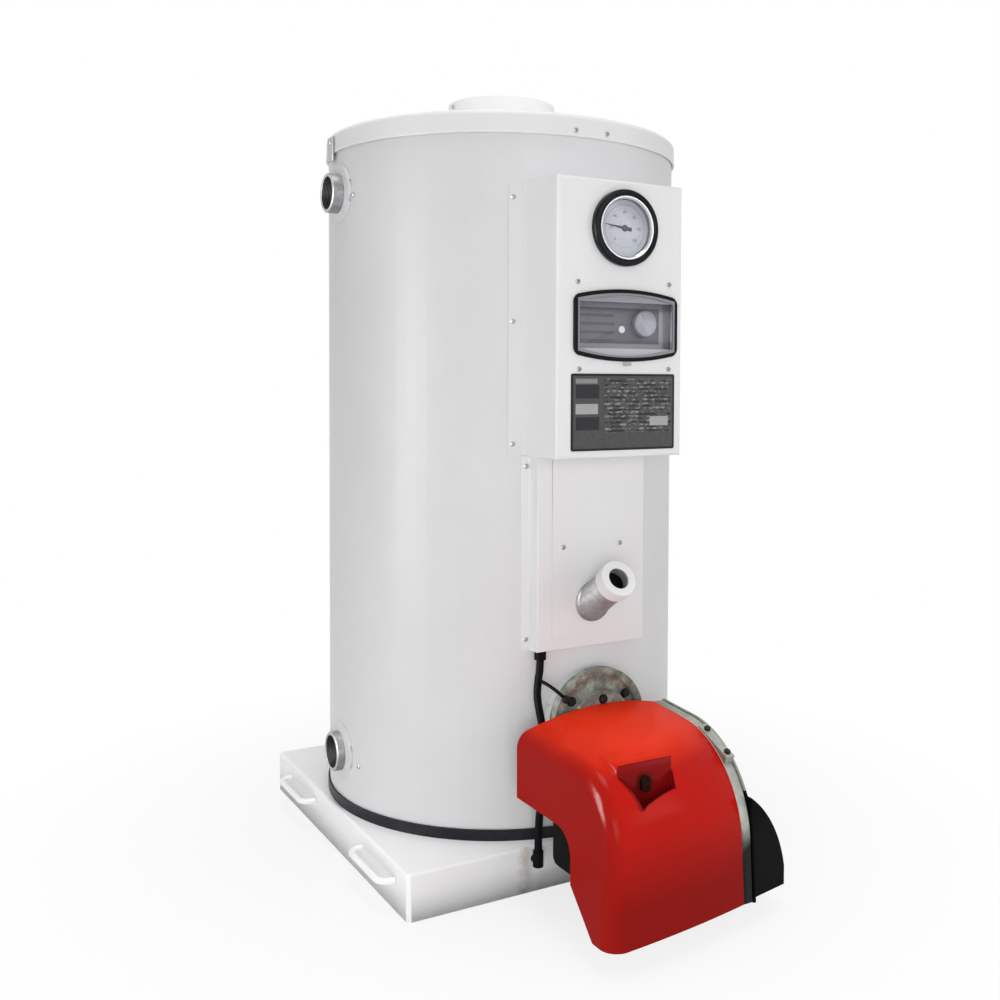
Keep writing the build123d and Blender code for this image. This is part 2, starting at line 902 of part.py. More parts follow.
with BuildPart() as fan_casing:
    with BuildSketch(Plane.YZ.offset(scroll_left)):
        with Locations((-fan_y, fan_z)):
            Circle(scroll_radius)
        with BuildLine():
            Polyline(
                (-fan_y, fan_z + scroll_radius),
                (-boss_front - throat_length, throat_top),
                (-boss_front - throat_length, fan_z),
                (-fan_y, fan_z),
                close=True,
            )
        make_face()
    extrude(amount=hood_right - scroll_left)
    with BuildSketch(Plane.XZ.offset(boss_front + skin_gap)):
        with Locations(((throat_left + throat_right) / 2, throat_top - throat_height / 2)):
            Rectangle(throat_right - throat_left, throat_height)
    extrude(amount=throat_length)
    with BuildSketch(Plane.YZ.offset(hood_right)):
        add(casing_outline(0))
    extrude(amount=rim_width)
    chamfer(fan_casing.faces().sort_by(Axis.X)[-1].edges(), rim_edge)
finish(fan_casing, "fan_casing")

with BuildPart() as fan_motor:
    with BuildSketch(Plane.YZ.offset(scroll_left)):
        with Locations((-fan_y - motor_ahead, fan_z - motor_lower)):
            RectangleRounded(motor_width, motor_height, motor_corner)
    extrude(amount=motor_left - scroll_left)
    chamfer(fan_motor.faces().sort_by(Axis.X)[0].edges(), motor_cap)
finish(fan_motor, "fan_motor")

# Air intake: a side plate on the rim, and a box whose top bows down to the right
intake_left = scroll_right + skin_gap
with BuildPart() as air_intake:
    with BuildSketch(Plane.XZ.offset(intake_back)):
        with BuildLine():
            crown = ThreePointArc(
                (intake_left, intake_bottom + intake_crown),
                (intake_left + intake_bow_x, intake_bottom + intake_shoulder),
                (intake_right, intake_bottom + intake_side),
            )
            Polyline(crown @ 1, (intake_right, intake_bottom), (intake_left, intake_bottom), crown @ 0)
        make_face()
    extrude(amount=intake_depth_left - intake_depth_back)
    with BuildSketch(Plane.XY.offset(intake_bottom)):
        with BuildLine():
            Polyline(
                (intake_left, -intake_back),
                (intake_left, -hood_back - intake_depth_left),
                (intake_right, -hood_back - intake_depth_right),
                (intake_right, -intake_back),
                close=True,
            )
        make_face()
    extrude(amount=intake_crown, mode=Mode.INTERSECT)
    with BuildSketch(Plane.YZ.offset(intake_left)):
        add(casing_outline(intake_lap))
    extrude(amount=intake_plate)
finish(air_intake, "air_intake")

# Lug with two bolt seats on the rim's shoulder
lean = math.radians(lug_angle)
lug_plane = Plane(
    (hood_right + overcut, -hood_back - lug_depth, burner_height - lug_drop),
    x_dir=(0, -math.cos(lean), -math.sin(lean)),
    z_dir=(1, 0, 0),
)
with BuildPart() as casing_lug:
    with BuildSketch(lug_plane):
        Rectangle(lug_length, lug_thickness, align=(Align.CENTER, Align.MIN))
    extrude(amount=rim_width - 2 * overcut)
    with BuildSketch(Plane.YZ.offset(hood_right)):
        add(casing_outline(skin_gap))
    extrude(amount=rim_width, mode=Mode.SUBTRACT)
finish(casing_lug, "casing_lug")

# Burner lead: from a gland under the lower panel to an elbow on the base
gland_y = panel_front - panel_gland_inset
gland_mouth = panel_bottom - panel_gland_length
with BuildPart() as panel_gland:
    with BuildSketch(Plane.XY.offset(gland_mouth)):
        with Locations((panel_gland_x, -gland_y)):
            Circle(panel_gland_radius)
    extrude(amount=panel_gland_length)
finish(panel_gland, "panel_gland")

elbow_y = base_side / 2 + base_gland_reach
with BuildPart() as base_gland:
    with BuildSketch(Plane.XY.offset(base_gland_top)):
        with Locations((base_gland_x, -elbow_y)):
            Circle(base_gland_radius)
    extrude(amount=-base_gland_length)
    with BuildSketch(Plane.XZ.offset(base_side / 2)):
        with Locations((base_gland_x, base_gland_top - spigot_drop)):
            Circle(spigot_radius)
    extrude(amount=base_gland_reach)
finish(base_gland, "base_gland")

upper_points = [(x, -jacket_radius - ahead, burner_height + rise) for x, ahead, rise in lead_way]
height_left = upper_points[-1][2] - base_gland_top
lower_points = [
    (x, -jacket_radius - ahead, base_gland_top + share * height_left) for x, ahead, share in lead_low_way
]
lead_start = (panel_gland_x, -gland_y, gland_mouth)
lead_end = (base_gland_x, -elbow_y, base_gland_top)
lead([lead_start, *upper_points, *lower_points, lead_end], lead_diameter, "burner_lead")

# Earth lead: from the burner lead to a terminal on the flange's rim
with BuildPart() as earth_terminal:
    with BuildSketch(Plane.XZ.offset(flange_front)):
        with Locations((0, burner_height)):
            with PolarLocations(flange_radius - flange_rim / 2, 1, start_angle=terminal_angle):
                Circle(terminal_radius)
    extrude(amount=terminal_length)
finish(earth_terminal, "earth_terminal")

branch_points = [(x, -jacket_radius - ahead, burner_height + rise) for x, ahead, rise in branch_way]
lead(branch_points, branch_diameter, "earth_lead")
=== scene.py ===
# %% [markdown]
# # A floor-standing boiler with a bolt-on burner
#
# The real object is a tall round hot-water boiler in white enamel. It stands on a square base,
# carries a control box on its front, and has a burner under a glossy red hood bolted to it.
# The CAD solids give every size, so this lesson only adds what they leave out: finishes, screws,
# dial marks, light and a camera. All lengths are metres, in the frame of the CAD model.

import math

import bmesh
import bpy
from mathutils import Matrix, Vector


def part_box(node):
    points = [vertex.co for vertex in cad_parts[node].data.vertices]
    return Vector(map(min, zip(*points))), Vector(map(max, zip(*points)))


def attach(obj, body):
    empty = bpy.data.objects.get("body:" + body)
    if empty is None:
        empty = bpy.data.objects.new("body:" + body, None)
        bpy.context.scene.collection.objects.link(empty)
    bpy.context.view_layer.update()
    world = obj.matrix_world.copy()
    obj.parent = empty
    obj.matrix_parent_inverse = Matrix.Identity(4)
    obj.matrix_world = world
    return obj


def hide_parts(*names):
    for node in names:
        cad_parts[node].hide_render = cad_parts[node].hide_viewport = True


def placed(name, data):
    """A new object in the scene."""
    piece = bpy.data.objects.new(name, data)
    bpy.context.scene.collection.objects.link(piece)
    return piece


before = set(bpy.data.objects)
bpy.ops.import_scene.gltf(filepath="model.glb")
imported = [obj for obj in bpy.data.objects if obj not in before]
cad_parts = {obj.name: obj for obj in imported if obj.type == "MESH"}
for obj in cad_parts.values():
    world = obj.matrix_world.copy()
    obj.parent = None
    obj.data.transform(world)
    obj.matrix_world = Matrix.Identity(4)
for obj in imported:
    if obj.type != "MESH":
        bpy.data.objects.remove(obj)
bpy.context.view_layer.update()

# %% [markdown]
# ## Camera
#
# The camera stands about 31 degrees round from the front, level with the middle of the jacket.
# It could be placed by eye, but a camera worked out from known sizes makes every edge fall in
# its place. The object isn't in the middle of the frame, so a small lens shift moves the frame.

# %% Camera
CAMERA_PLACE = Vector((-0.8759, -1.6757, 0.7290))
CAMERA_YAW = 0.5339
CAMERA_PITCH = 0.0341
CAMERA_ROLL = 0.0044
FOCAL_PIXELS = 1133.7
PICTURE_SIDE = 1000
PRINCIPAL_POINT = (560.1, 417.3)
SENSOR_WIDTH = 36


def camera_axes(yaw, pitch, roll):
    """The camera's right, up and forward directions."""
    forward = Vector(
        (math.sin(yaw) * math.cos(pitch), math.cos(yaw) * math.cos(pitch), -math.sin(pitch))
    )
    level = Vector((math.cos(yaw), -math.sin(yaw), 0))
    rise = level.cross(forward)
    right = level * math.cos(roll) + rise * math.sin(roll)
    up = rise * math.cos(roll) - level * math.sin(roll)
    return right, up, forward


right, up, forward = camera_axes(CAMERA_YAW, CAMERA_PITCH, CAMERA_ROLL)
camera_data = bpy.data.cameras.new("camera")
camera_data.sensor_width = SENSOR_WIDTH
camera_data.lens = SENSOR_WIDTH * FOCAL_PIXELS / PICTURE_SIDE
camera_data.shift_x = 0.5 - PRINCIPAL_POINT[0] / PICTURE_SIDE
camera_data.shift_y = PRINCIPAL_POINT[1] / PICTURE_SIDE - 0.5
camera = placed("camera", camera_data)
turn = Matrix((right, up, -forward)).transposed().to_4x4()
camera.matrix_world = Matrix.Translation(CAMERA_PLACE) @ turn
bpy.context.scene.camera = camera
print("lens", round(camera_data.lens, 2), "mm")

# %% [markdown]
# ## Node trees written as sums
#
# A material is a tree of nodes, and so is a Geometry Nodes modifier. Adding each node by hand
# hides the idea, so one small class wraps a socket and lets Python's own plus, minus and times
# add the Math nodes, and one method makes any other node.

# %% Sockets that can be summed


class Wire:
    """One output socket. Sums on it add Math nodes to its tree."""

    def __init__(self, graph, socket):
        self.graph = graph
        self.sum = graph.sum
        self.socket = socket

    def __add__(self, other):
        return self.sum("ADD", self, other)

    def __radd__(self, other):
        return self.sum("ADD", other, self)

    def __sub__(self, other):
        return self.sum("SUBTRACT", self, other)

    def __rsub__(self, other):
        return self.sum("SUBTRACT", other, self)

    def __mul__(self, other):
        return self.sum("MULTIPLY", self, other)

    def __rmul__(self, other):
        return self.sum("MULTIPLY", other, self)

    def __truediv__(self, other):
        return self.sum("DIVIDE", self, other)

    def __rtruediv__(self, other):
        return self.sum("DIVIDE", other, self)

    def __pow__(self, other):
        return self.sum("POWER", self, other)

    def __gt__(self, other):
        return self.sum("GREATER_THAN", self, other)

    def __lt__(self, other):
        return self.sum("LESS_THAN", self, other)

    def sine(self):
        return self.sum("SINE", self)

    def size(self):
        return self.sum("ABSOLUTE", self)

    def between(self, low, high):
        """1 where the value lies between two limits, otherwise 0."""
        return (self > low) * (self < high)

    def out(self, name):
        """Another output of the same node."""
        return Wire(self.graph, self.socket.node.outputs[name])


def shade(tone):
    """A colour from a tuple of three levels, or a grey from one."""
    return (*tone, 1.0) if isinstance(tone, tuple) else (tone, tone, tone, 1.0)


class Graph:
    """A shader or geometry tree."""

    def __init__(self, tree):
        self.tree = tree

    def node(self, kind, settings=None, sockets=None, out=0):
        made = self.tree.nodes.new(kind)
        for name, value in (settings or {}).items():
            if name == "stops":
                elements = made.color_ramp.elements
                while len(elements) < len(value):
                    elements.new(1)
                for element, (place, tone) in zip(elements, value):
                    element.position = place
                    element.color = shade(tone)
            else:
                setattr(made, name, value)
        for name, value in (sockets or {}).items():
            if isinstance(value, Wire):
                self.tree.links.new(value.socket, made.inputs[name])
            else:
                made.inputs[name].default_value = value
        return Wire(self, made.outputs[out]) if len(made.outputs) else made

    def sum(self, operation, first, second=0.0):
        return self.node("ShaderNodeMath", {"operation": operation}, {0: first, 1: second})


finishes = {}


class Finish(Graph):
    """A material whose Principled shader is ready. Constants go straight on its sockets."""

    def __init__(self, name, **constants):
        self.material = bpy.data.materials.new(name)
        self.material.use_nodes = True
        super().__init__(self.material.node_tree)
        self.shader = self.tree.nodes["Principled BSDF"]
        self.place = self.node("ShaderNodeTexCoord", out="Object")
        for socket, value in constants.items():
            self.shader.inputs[socket.replace("_", " ")].default_value = value
        finishes[name] = self

    def feed(self, **wires):
        for socket, wire in wires.items():
            self.tree.links.new(wire.socket, self.shader.inputs[socket.replace("_", " ")])

    def axes(self):
        """The place's three coordinates, in metres."""
        parts = self.node("ShaderNodeSeparateXYZ", None, {0: self.place})
        return parts, parts.out("Y"), parts.out("Z")

    def noise(self, scale, detail=2.0, rough=0.5, stretch=None):
        """Cloudy noise from 0 to 1. Scale is in clouds to the metre."""
        place = self.place
        if stretch:
            place = self.node("ShaderNodeMapping", None, {"Vector": self.place, "Scale": stretch})
        sockets = {"Vector": place, "Scale": scale, "Detail": detail, "Roughness": rough}
        return self.node("ShaderNodeTexNoise", None, sockets)

    def ramp(self, value, *stops):
        return self.node("ShaderNodeValToRGB", {"stops": stops}, {"Fac": value})

    def mix(self, factor, first, second):
        """Two colours laid over each other, each a wire or plain levels."""
        sockets = {0: factor}
        for socket, tone in ((6, first), (7, second)):
            sockets[socket] = tone if isinstance(tone, Wire) else shade(tone)
        return self.node("ShaderNodeMix", {"data_type": "RGBA"}, sockets, out=2)

    def bump(self, height, strength, depth):
        sockets = {"Height": height, "Strength": strength, "Distance": depth}
        return self.node("ShaderNodeBump", None, sockets)


# %% [markdown]
# ## White enamel
#
# The jacket, lid, base and covers are sheet steel in stove enamel. Paint like this isn't quite
# even: it has soft clouds of tone, a fine orange peel that breaks up reflections, and a film of
# dust that dulls the gloss in patches. Three noises of different size give those three things.
# Each sheet has its own level of white, and these levels are partly painted light and shade:
# the base and the flue collar are painted lighter and the jacket darker, to even out the light
# they get.

# %% Enamel
ENAMEL, ENAMEL_DULL = (0.76, 0.76, 0.77), (0.725, 0.725, 0.735)
BOX_ENAMEL, BOX_DULL = (0.80, 0.80, 0.81), (0.765, 0.765, 0.775)
# The jacket's darker level is partly painted shade.
JACKET_ENAMEL, JACKET_DULL = (0.70, 0.70, 0.71), (0.665, 0.665, 0.675)
# The base's lighter level is partly painted light.
BASE_ENAMEL, BASE_DULL = (0.92, 0.92, 0.93), (0.89, 0.89, 0.895)
CLOUDS_TO_THE_METRE = 5
FILMS_TO_THE_METRE = 28
PEEL_TO_THE_METRE = 420
PEEL_DEPTH = 0.00025
FLANGE_EDGE = 0.2829


def enamel(name, colour=ENAMEL, dull=ENAMEL_DULL, gloss=0.3, sheen=0.14):
    paint = Finish(name, Specular_IOR_Level=sheen)
    clouds = paint.noise(CLOUDS_TO_THE_METRE, 4, 0.6)
    tone = paint.mix(paint.ramp(clouds, (0.35, 0), (0.75, 1)), colour, dull)
    film = paint.noise(FILMS_TO_THE_METRE, 5, 0.65)
    peel = paint.noise(PEEL_TO_THE_METRE, 1)
    paint.feed(
        Base_Color=tone,
        Roughness=gloss + film * 0.16,
        Normal=paint.bump(peel, 0.25, PEEL_DEPTH),
    )
    return paint, tone


enamel("white_enamel")
enamel("jacket_enamel", JACKET_ENAMEL, JACKET_DULL, sheen=0.05)
# The collar's lighter level is partly painted light.
enamel("collar_enamel", colour=0.94, dull=0.91, gloss=0.42)
cover_enamel, cover_tone = enamel("cover_enamel", BOX_ENAMEL, BOX_DULL)
# Where the cover's flanges lie on the jacket they take its darker level: painted shade.
x, y, z = cover_enamel.axes()
on_jacket = (x * x + y * y) < FLANGE_EDGE**2
cover_enamel.feed(Base_Color=cover_enamel.mix(on_jacket, cover_tone, JACKET_ENAMEL))
print("enamels", list(finishes))

# %% [markdown]
# ## Enamel on the base
#
# The base is the same paint, but feet and mops reach it. The front shows a faint brown run
# under the burner's lead, and dust gathers along the floor. Both follow the base's own height,
# so they are sums on the place's coordinates, broken up by noise so that no edge is straight.

# %% Base enamel
STAIN_X = -0.108
STAIN_HALF_WIDTH = 0.016
BASE_FRONT = -0.287
SCUFF_HEIGHT = 0.02

base_enamel, base_tone = enamel("base_enamel", BASE_ENAMEL, BASE_DULL, 0.45, 0.05)
x, y, z = base_enamel.axes()
ragged = base_enamel.noise(60, 4, 0.7)
off_stain = (x - STAIN_X + (ragged - 0.5) * 0.02).size() / STAIN_HALF_WIDTH
run = (1 - off_stain) * (y < BASE_FRONT)
run = base_enamel.ramp(run * ragged, (0.1, 0), (0.55, 0.55))
dusty = base_enamel.ramp((1 - z / SCUFF_HEIGHT) * ragged, (0.15, 0), (0.6, 0.12))
stained = base_enamel.mix(run, base_tone, (0.42, 0.36, 0.29))
base_enamel.feed(Base_Color=base_enamel.mix(dusty, stained, (0.40, 0.38, 0.35)))

# %% [markdown]
# ## Rubber, plastics and cable sheath
#
# The black pieces differ in gloss and grain rather than in colour: dull rubber, a moulded case
# with a fine spark-eroded grain, a bezel polished by its mould. One function takes the grain's
# size and depth, and a table gives each piece its own. The intake's upper edge is bare metal and
# the controller's frame is grey inside its rim: there a test on the place changes the tone.

# %% Mouldings
MATT, SATIN, GLOSSY = 0.03, 0.12, 0.5
# Colour, worn colour, grains to the metre and their depth, roughness, sheen
MOULDINGS = {
    "black_rubber": ((0.012, 0.014, 0.018), (0.026, 0.028, 0.033), 500, 0.0001, 0.3, SATIN),
    "gauge_black": ((0.005, 0.006, 0.008), (0.01, 0.011, 0.013), 900, 0.00005, 0.2, SATIN),
    "frame_black": ((0.008, 0.009, 0.012), (0.02, 0.021, 0.024), 1400, 0.0001, 0.35, MATT),
    "intake_black": (0.002, 0.006, 900, 0.0004, 0.55, MATT),
    "intake_edge": (0.002, 0.006, 900, 0.0004, 0.55, MATT),
    "button_brown": ((0.016, 0.005, 0.003), (0.035, 0.010, 0.006), 900, 0.0001, 0.4, MATT),
    "lead_black": ((0.004, 0.004, 0.006), (0.01, 0.01, 0.012), 700, 0.0002, 0.45, MATT),
    "knob_grey": ((0.40, 0.405, 0.43), (0.24, 0.245, 0.265), 1200, 0.0001, 0.4, GLOSSY),
    "lamp_pale": ((0.75, 0.75, 0.72), (0.65, 0.64, 0.60), 1500, 0.00005, 0.15, GLOSSY),
    "needle_black": ((0.07, 0.072, 0.08), (0.12, 0.12, 0.135), 1500, 0.00005, 0.35, GLOSSY),
    "sight_pane": ((0.004, 0.004, 0.005), (0.012, 0.01, 0.009), 300, 0.0001, 0.12, MATT),
}


def moulding(name, colour, worn, grain, depth, rough, sheen):
    plastic = Finish(name, Specular_IOR_Level=sheen)
    patches = plastic.ramp(plastic.noise(35, 4, 0.6), (0.4, 0), (0.8, 1))
    fine = plastic.noise(grain, 2, 0.6)
    plastic.feed(
        Base_Color=plastic.mix(patches, colour, worn),
        Roughness=rough + fine * 0.12,
        Normal=plastic.bump(fine, 0.5, depth),
    )


for name, look in MOULDINGS.items():
    moulding(name, *look)
print(len(MOULDINGS), "mouldings")

# %% Intake and frame
BARE_ABOVE = 0.181
WINDOW_BULGE = 0.010
RIM_SHOWN = 0.0055

intake_edge = finishes["intake_edge"]
x, y, z = intake_edge.axes()
speck = intake_edge.noise(45, 4, 0.6)
bare = intake_edge.mix(speck, (0.22, 0.23, 0.205), (0.36, 0.375, 0.34))
above = z + speck * 0.01 > BARE_ABOVE
intake_edge.feed(Base_Color=intake_edge.mix(above, 0.003, bare))

window_low, window_high = (Vector(corner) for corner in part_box("controller_frame"))
window_middle = (window_low + window_high) / 2
window_half = (window_high - window_low) / 2
frame_black = finishes["frame_black"]
x, y, z = frame_black.axes()
off_x = (x - window_middle.x).size()
bow = WINDOW_BULGE * (off_x / window_half.x) ** 2
low_enough = (z - window_middle.z).size() + bow < window_half.z - RIM_SHOWN
inner = low_enough * (off_x < window_half.x - RIM_SHOWN)
outer_tone = frame_black.mix(frame_black.noise(200, 3, 0.6), 0.008, 0.016)
frame_black.feed(Base_Color=frame_black.mix(inner, outer_tone, (0.27, 0.27, 0.30)))

# %% [markdown]
# ## Glossy red hood
#
# The hood is one moulding in deep red, the brightest thing on the boiler. Its roof is painted
# a lighter, warmer red as painted light, and its lower part and its left side a darker red as
# painted shade, while the rest keeps the deep red, so the colour follows the height. The gloss
# is a thin clear coat whose weight varies in patches where dust dulls it. The pocket for the
# button is painted a deeper red as painted shade, with a painted shadow round the button: four
# half-planes and two heights pick out its walls.

# %% Hood red
# Painted light on the roof, painted shade low down, on the left side and in the pocket.
LIT_ROOF_RED = (0.80, 0.036, 0.010)
SIDE_RED = (0.47, 0.009, 0.005)
SHADED_LOW_RED = (0.26, 0.005, 0.003)
SHADED_LEFT_RED = (0.33, 0.007, 0.004)
SHADED_POCKET_RED = (0.24, 0.005, 0.006)
BUTTON_SHADOW = (0.10, 0.010, 0.006)
POCKET_SIDES = (
    (0, -1, 0.514),
    (0.865, 0.502, -0.348),
    (-0.943, 0.333, -0.1504),
    (-0.235, 0.972, -0.5096),
)
POCKET_SLACK = 0.0006
POCKET_LOW, POCKET_HIGH = 0.1794, 0.2481
BUTTON_X, BUTTON_Z, BUTTON_REACH = -0.064, 0.220, 0.02
HOOD_LOW, HOOD_HIGH = 0.05, 0.262
HOOD_LEFT, LEFT_BAND = -0.14, 0.03

hood_red = Finish("hood_red", Coat_Roughness=0.19, Coat_IOR=1.45, Specular_IOR_Level=0.0)
x, y, z = hood_red.axes()
patches = hood_red.noise(7, 3, 0.5)
ripple = hood_red.noise(60, 1)
specks = hood_red.noise(420, 3, 0.7)
# The colour follows the height: painted light on the roof, painted shade low down.
height = (z - HOOD_LOW) / (HOOD_HIGH - HOOD_LOW) + (patches - 0.5) * 0.12
reds = ((0.15, SHADED_LOW_RED), (0.55, SIDE_RED), (0.86, SIDE_RED), (0.97, LIT_ROOF_RED))
red = hood_red.ramp(height, *reds)
# Painted shade in the pocket, darkest as a painted shadow round the button.
in_pocket = z.between(POCKET_LOW, POCKET_HIGH)
for slope_x, slope_y, reach in POCKET_SIDES:
    in_pocket = in_pocket * ((x * slope_x + y * slope_y) > reach - POCKET_SLACK)
near_button = (((x - BUTTON_X) ** 2 + (z - BUTTON_Z) ** 2) ** 0.5) / BUTTON_REACH
shadowed = hood_red.ramp(near_button, (0.35, BUTTON_SHADOW), (0.9, SHADED_POCKET_RED))
lit_red_with_specks = hood_red.mix(hood_red.ramp(specks, (0.68, 0), (0.78, 0.12)), red, (0.75, 0.2, 0.12))
# Painted shade: the hood's left side is darker.
left_shade = hood_red.ramp((x - HOOD_LEFT) / LEFT_BAND, (0.1, 0.85), (0.75, 0))
left_shaded_red = hood_red.mix(left_shade, lit_red_with_specks, SHADED_LEFT_RED)
hood_red.feed(
    Base_Color=hood_red.mix(in_pocket, left_shaded_red, shadowed),
    Roughness=0.32 + patches * 0.12,
    Coat_Weight=0.10 + patches * 0.10,
    Normal=hood_red.bump(ripple, 0.12, 0.0006),
)

# %% [markdown]
# ## Bare metals
#
# The pipe sockets are turned steel, with fine rings that are a sine of the place along their
# axis, and a coarser sine for the thread in the bore. The flange and the fan casing's rim are
# castings: blotches of tone and much finer pores, and the rim turns nearly black low down. On
# small metals one noise drives tone, roughness and relief, because a worn spot is also rougher.

# %% Socket steel
TOOL_MARKS = 2 * math.pi / 0.0007
THREAD_MARKS = 2 * math.pi / 0.0023
SUPPLY_Z, RETURN_Z = 1.010, 0.150
BORE_RADIUS = 0.0249

socket_steel = Finish("socket_steel", Metallic=0.85)
x, y, z = socket_steel.axes()
rings = (x * TOOL_MARKS).sine() * 0.5 + 0.5
thread = (x * THREAD_MARKS).sine() * 0.5 + 0.5
blotch = socket_steel.noise(90, 4, 0.6)
off_axis = socket_steel.sum("MINIMUM", (z - SUPPLY_Z).size(), (z - RETURN_Z).size())
# The bore is painted near black: painted shade inside the socket, lightened a little by the thread.
in_bore = (y * y + off_axis * off_axis) < BORE_RADIUS**2
steel = socket_steel.ramp(blotch, (0.3, (0.36, 0.36, 0.37)), (0.8, 0.20))
socket_steel.feed(
    Base_Color=socket_steel.mix(in_bore * (0.85 + thread * 0.15), steel, 0.02),
    Roughness=0.38 + blotch * 0.2,
    Normal=socket_steel.bump(rings * (1 - in_bore) * 0.1 + thread * in_bore, 0.6, 0.0009),
)

# %% Flange and fan casing
flange_metal = Finish("flange_metal", Metallic=0.35)
blotch = flange_metal.noise(42, 6, 0.7)
pores = flange_metal.noise(600, 3, 0.7)
tones = ((0.3, (0.05, 0.062, 0.05)), (0.5, (0.18, 0.20, 0.165)), (0.68, (0.42, 0.45, 0.40)))
flange_metal.feed(
    Base_Color=flange_metal.ramp(blotch, *tones),
    Roughness=0.45 + pores * 0.3,
    Normal=flange_metal.bump(pores, 0.5, 0.0006),
)

cast_aluminium = Finish("cast_aluminium", Metallic=0.55)
blotch = cast_aluminium.noise(45, 4, 0.6)
pores = cast_aluminium.noise(700, 3, 0.7)
x, y, z = cast_aluminium.axes()
metal = cast_aluminium.ramp(blotch, (0.3, (0.40, 0.42, 0.38)), (0.75, (0.27, 0.28, 0.245)))
dark_low_down = cast_aluminium.ramp(z / 0.2 + blotch * 0.2, (0.62, 1), (0.78, 0))
cast_aluminium.feed(
    Base_Color=cast_aluminium.mix(dark_low_down, metal, 0.006),
    Roughness=0.42 + pores * 0.2,
    Normal=cast_aluminium.bump(pores, 0.4, 0.0004),
)

# %% Screws, bolts, tube, vessel and ring
# Noise, dark and light stops of tone, roughness and its spread, bump strength and depth
SMALL_METALS = {
    "screw_steel": (
        (260, 3, 0.6), (0.0, (0.30, 0.30, 0.305)), (1.0, (0.40, 0.40, 0.405)),
        (0.36, 0.2), (0.2, 0.0002), {"Metallic": 0.5},
    ),
    "bolt_black": (
        (240, 3, 0.6), (0.0, 0.003), (1.0, (0.014, 0.014, 0.013)),
        (0.35, 0.25), (0.3, 0.0002), {"Specular_IOR_Level": 0.2},
    ),
    "port_metal": (
        (130, 5, 0.7), (0.3, 0.20), (0.75, 0.36),
        (0.4, 0.3), (0.4, 0.0006), {"Metallic": 0.45},
    ),
    "vessel_steel": (
        (25, 6, 0.7), (0.3, (0.012, 0.011, 0.011)), (0.8, (0.07, 0.055, 0.045)),
        (0.7, 0.2), (0.6, 0.002), {"Metallic": 0.2},
    ),
    "bright_metal": (
        (300, 3, 0.6), (0.0, (0.56, 0.57, 0.59)), (1.0, (0.42, 0.43, 0.45)),
        (0.16, 0.16), (0.1, 0.0001), {"Metallic": 1.0},
    ),
}


def small_metal(name, noise, first_stop, last_stop, rough, relief, constants):
    metal = Finish(name, **constants)
    blotch = metal.noise(*noise)
    metal.feed(
        Base_Color=metal.ramp(blotch, first_stop, last_stop),
        Roughness=rough[0] + blotch * rough[1],
        Normal=metal.bump(blotch, *relief),
    )


for name, look in SMALL_METALS.items():
    small_metal(name, *look)
print(len(SMALL_METALS), "small metals")

# %% [markdown]
# ## Glass
#
# A clear pane covers the thermometer, and the controller's cover is a little smoked. Each pane
# is a real solid, so a transmitting shader bends light as glass does. A faint film in the
# roughness keeps it from looking perfect. The cover is darker along its top and bottom, where
# its moulded edges turn back.

# %% Panes
COVER_BAND = 0.05


def pane(name, tint):
    glass = Finish(name, Transmission_Weight=1.0, IOR=1.05)
    film = glass.noise(120, 4, 0.6)
    tone = glass.mix(glass.ramp(film, (0.5, 0), (0.9, 0.3)), tint, 0.8)
    glass.feed(Base_Color=tone, Roughness=film * 0.03)
    return glass, tone


pane("clear_glass", (0.97, 0.98, 0.99))
smoked_cover, smoke = pane("smoked_cover", (0.93, 0.93, 0.95))
x, y, z = smoked_cover.axes()
bands = ((0.0, 0.6), (0.12, 0), (0.86, 0), (0.98, 1))
edges = smoked_cover.ramp((z - window_middle.z) / COVER_BAND + 0.5, *bands)
smoked_cover.feed(Base_Color=smoked_cover.mix(edges, smoke, (0.60, 0.59, 0.62)))

# %% [markdown]
# ## Dial
#
# The thermometer's dial is a pale blue-grey disc with a printed scale. Its tone is painted a
# little lighter towards its middle as painted light, a painted shadow of the bezel darkens its
# upper right, and a thin ring is printed inside the ticks.

# %% Dial face
GAUGE_X, GAUGE_Z = 0.003, 0.9375
PRINTED_RING = (0.0262, 0.0268)
DIAL_RADIUS = 0.04

dial_blue = Finish("dial_blue", Roughness=0.45)
x, y, z = dial_blue.axes()
across, above = x - GAUGE_X, z - GAUGE_Z
reach = (across**2 + above**2) ** 0.5
cloud = dial_blue.noise(60, 3, 0.6)
light, grey = (0.50, 0.51, 0.54), (0.43, 0.44, 0.48)
# Painted light: the dial is lighter towards its middle.
lit_middle_tone = dial_blue.mix(reach * 20 + cloud * 0.3 - 0.15, light, grey)
# Painted shadow of the bezel on the dial's upper right.
away = (across * 0.6 + above * 0.8) / DIAL_RADIUS
shading = dial_blue.ramp(away + cloud * 0.2, (0.35, 0), (0.95, 0.55))
print_base = dial_blue.mix(shading, lit_middle_tone, (0.2, 0.2, 0.22))
ink = reach.between(*PRINTED_RING) * 0.4
dial_blue.feed(
    Base_Color=dial_blue.mix(ink, print_base, (0.1, 0.11, 0.14)),
    Normal=dial_blue.bump(cloud, 0.1, 0.0001),
)
print("dial at", GAUGE_X, GAUGE_Z)

# %% [markdown]
# ## Controller's face
#
# Behind the smoked cover is a light grey face with a darker printed panel, a pale strip under it
# and a darker column at its right. They are flat prints, so they are rectangles in the material,
# each the product of two between tests. Fine rules stand where the real one has its scale.

# %% Controller face
# Rectangles are left, right, bottom, top
PANEL = (-0.066, 0.072, 0.7785, 0.828)
SCALE = (-0.064, -0.004, 0.782, 0.82)
COLUMN = (0.079, 0.12, 0.7, 0.9)
LOW_STRIP = (-0.08, 0.079, 0.762, 0.7772)
SCALE_RULES = 2 * math.pi / 0.0118


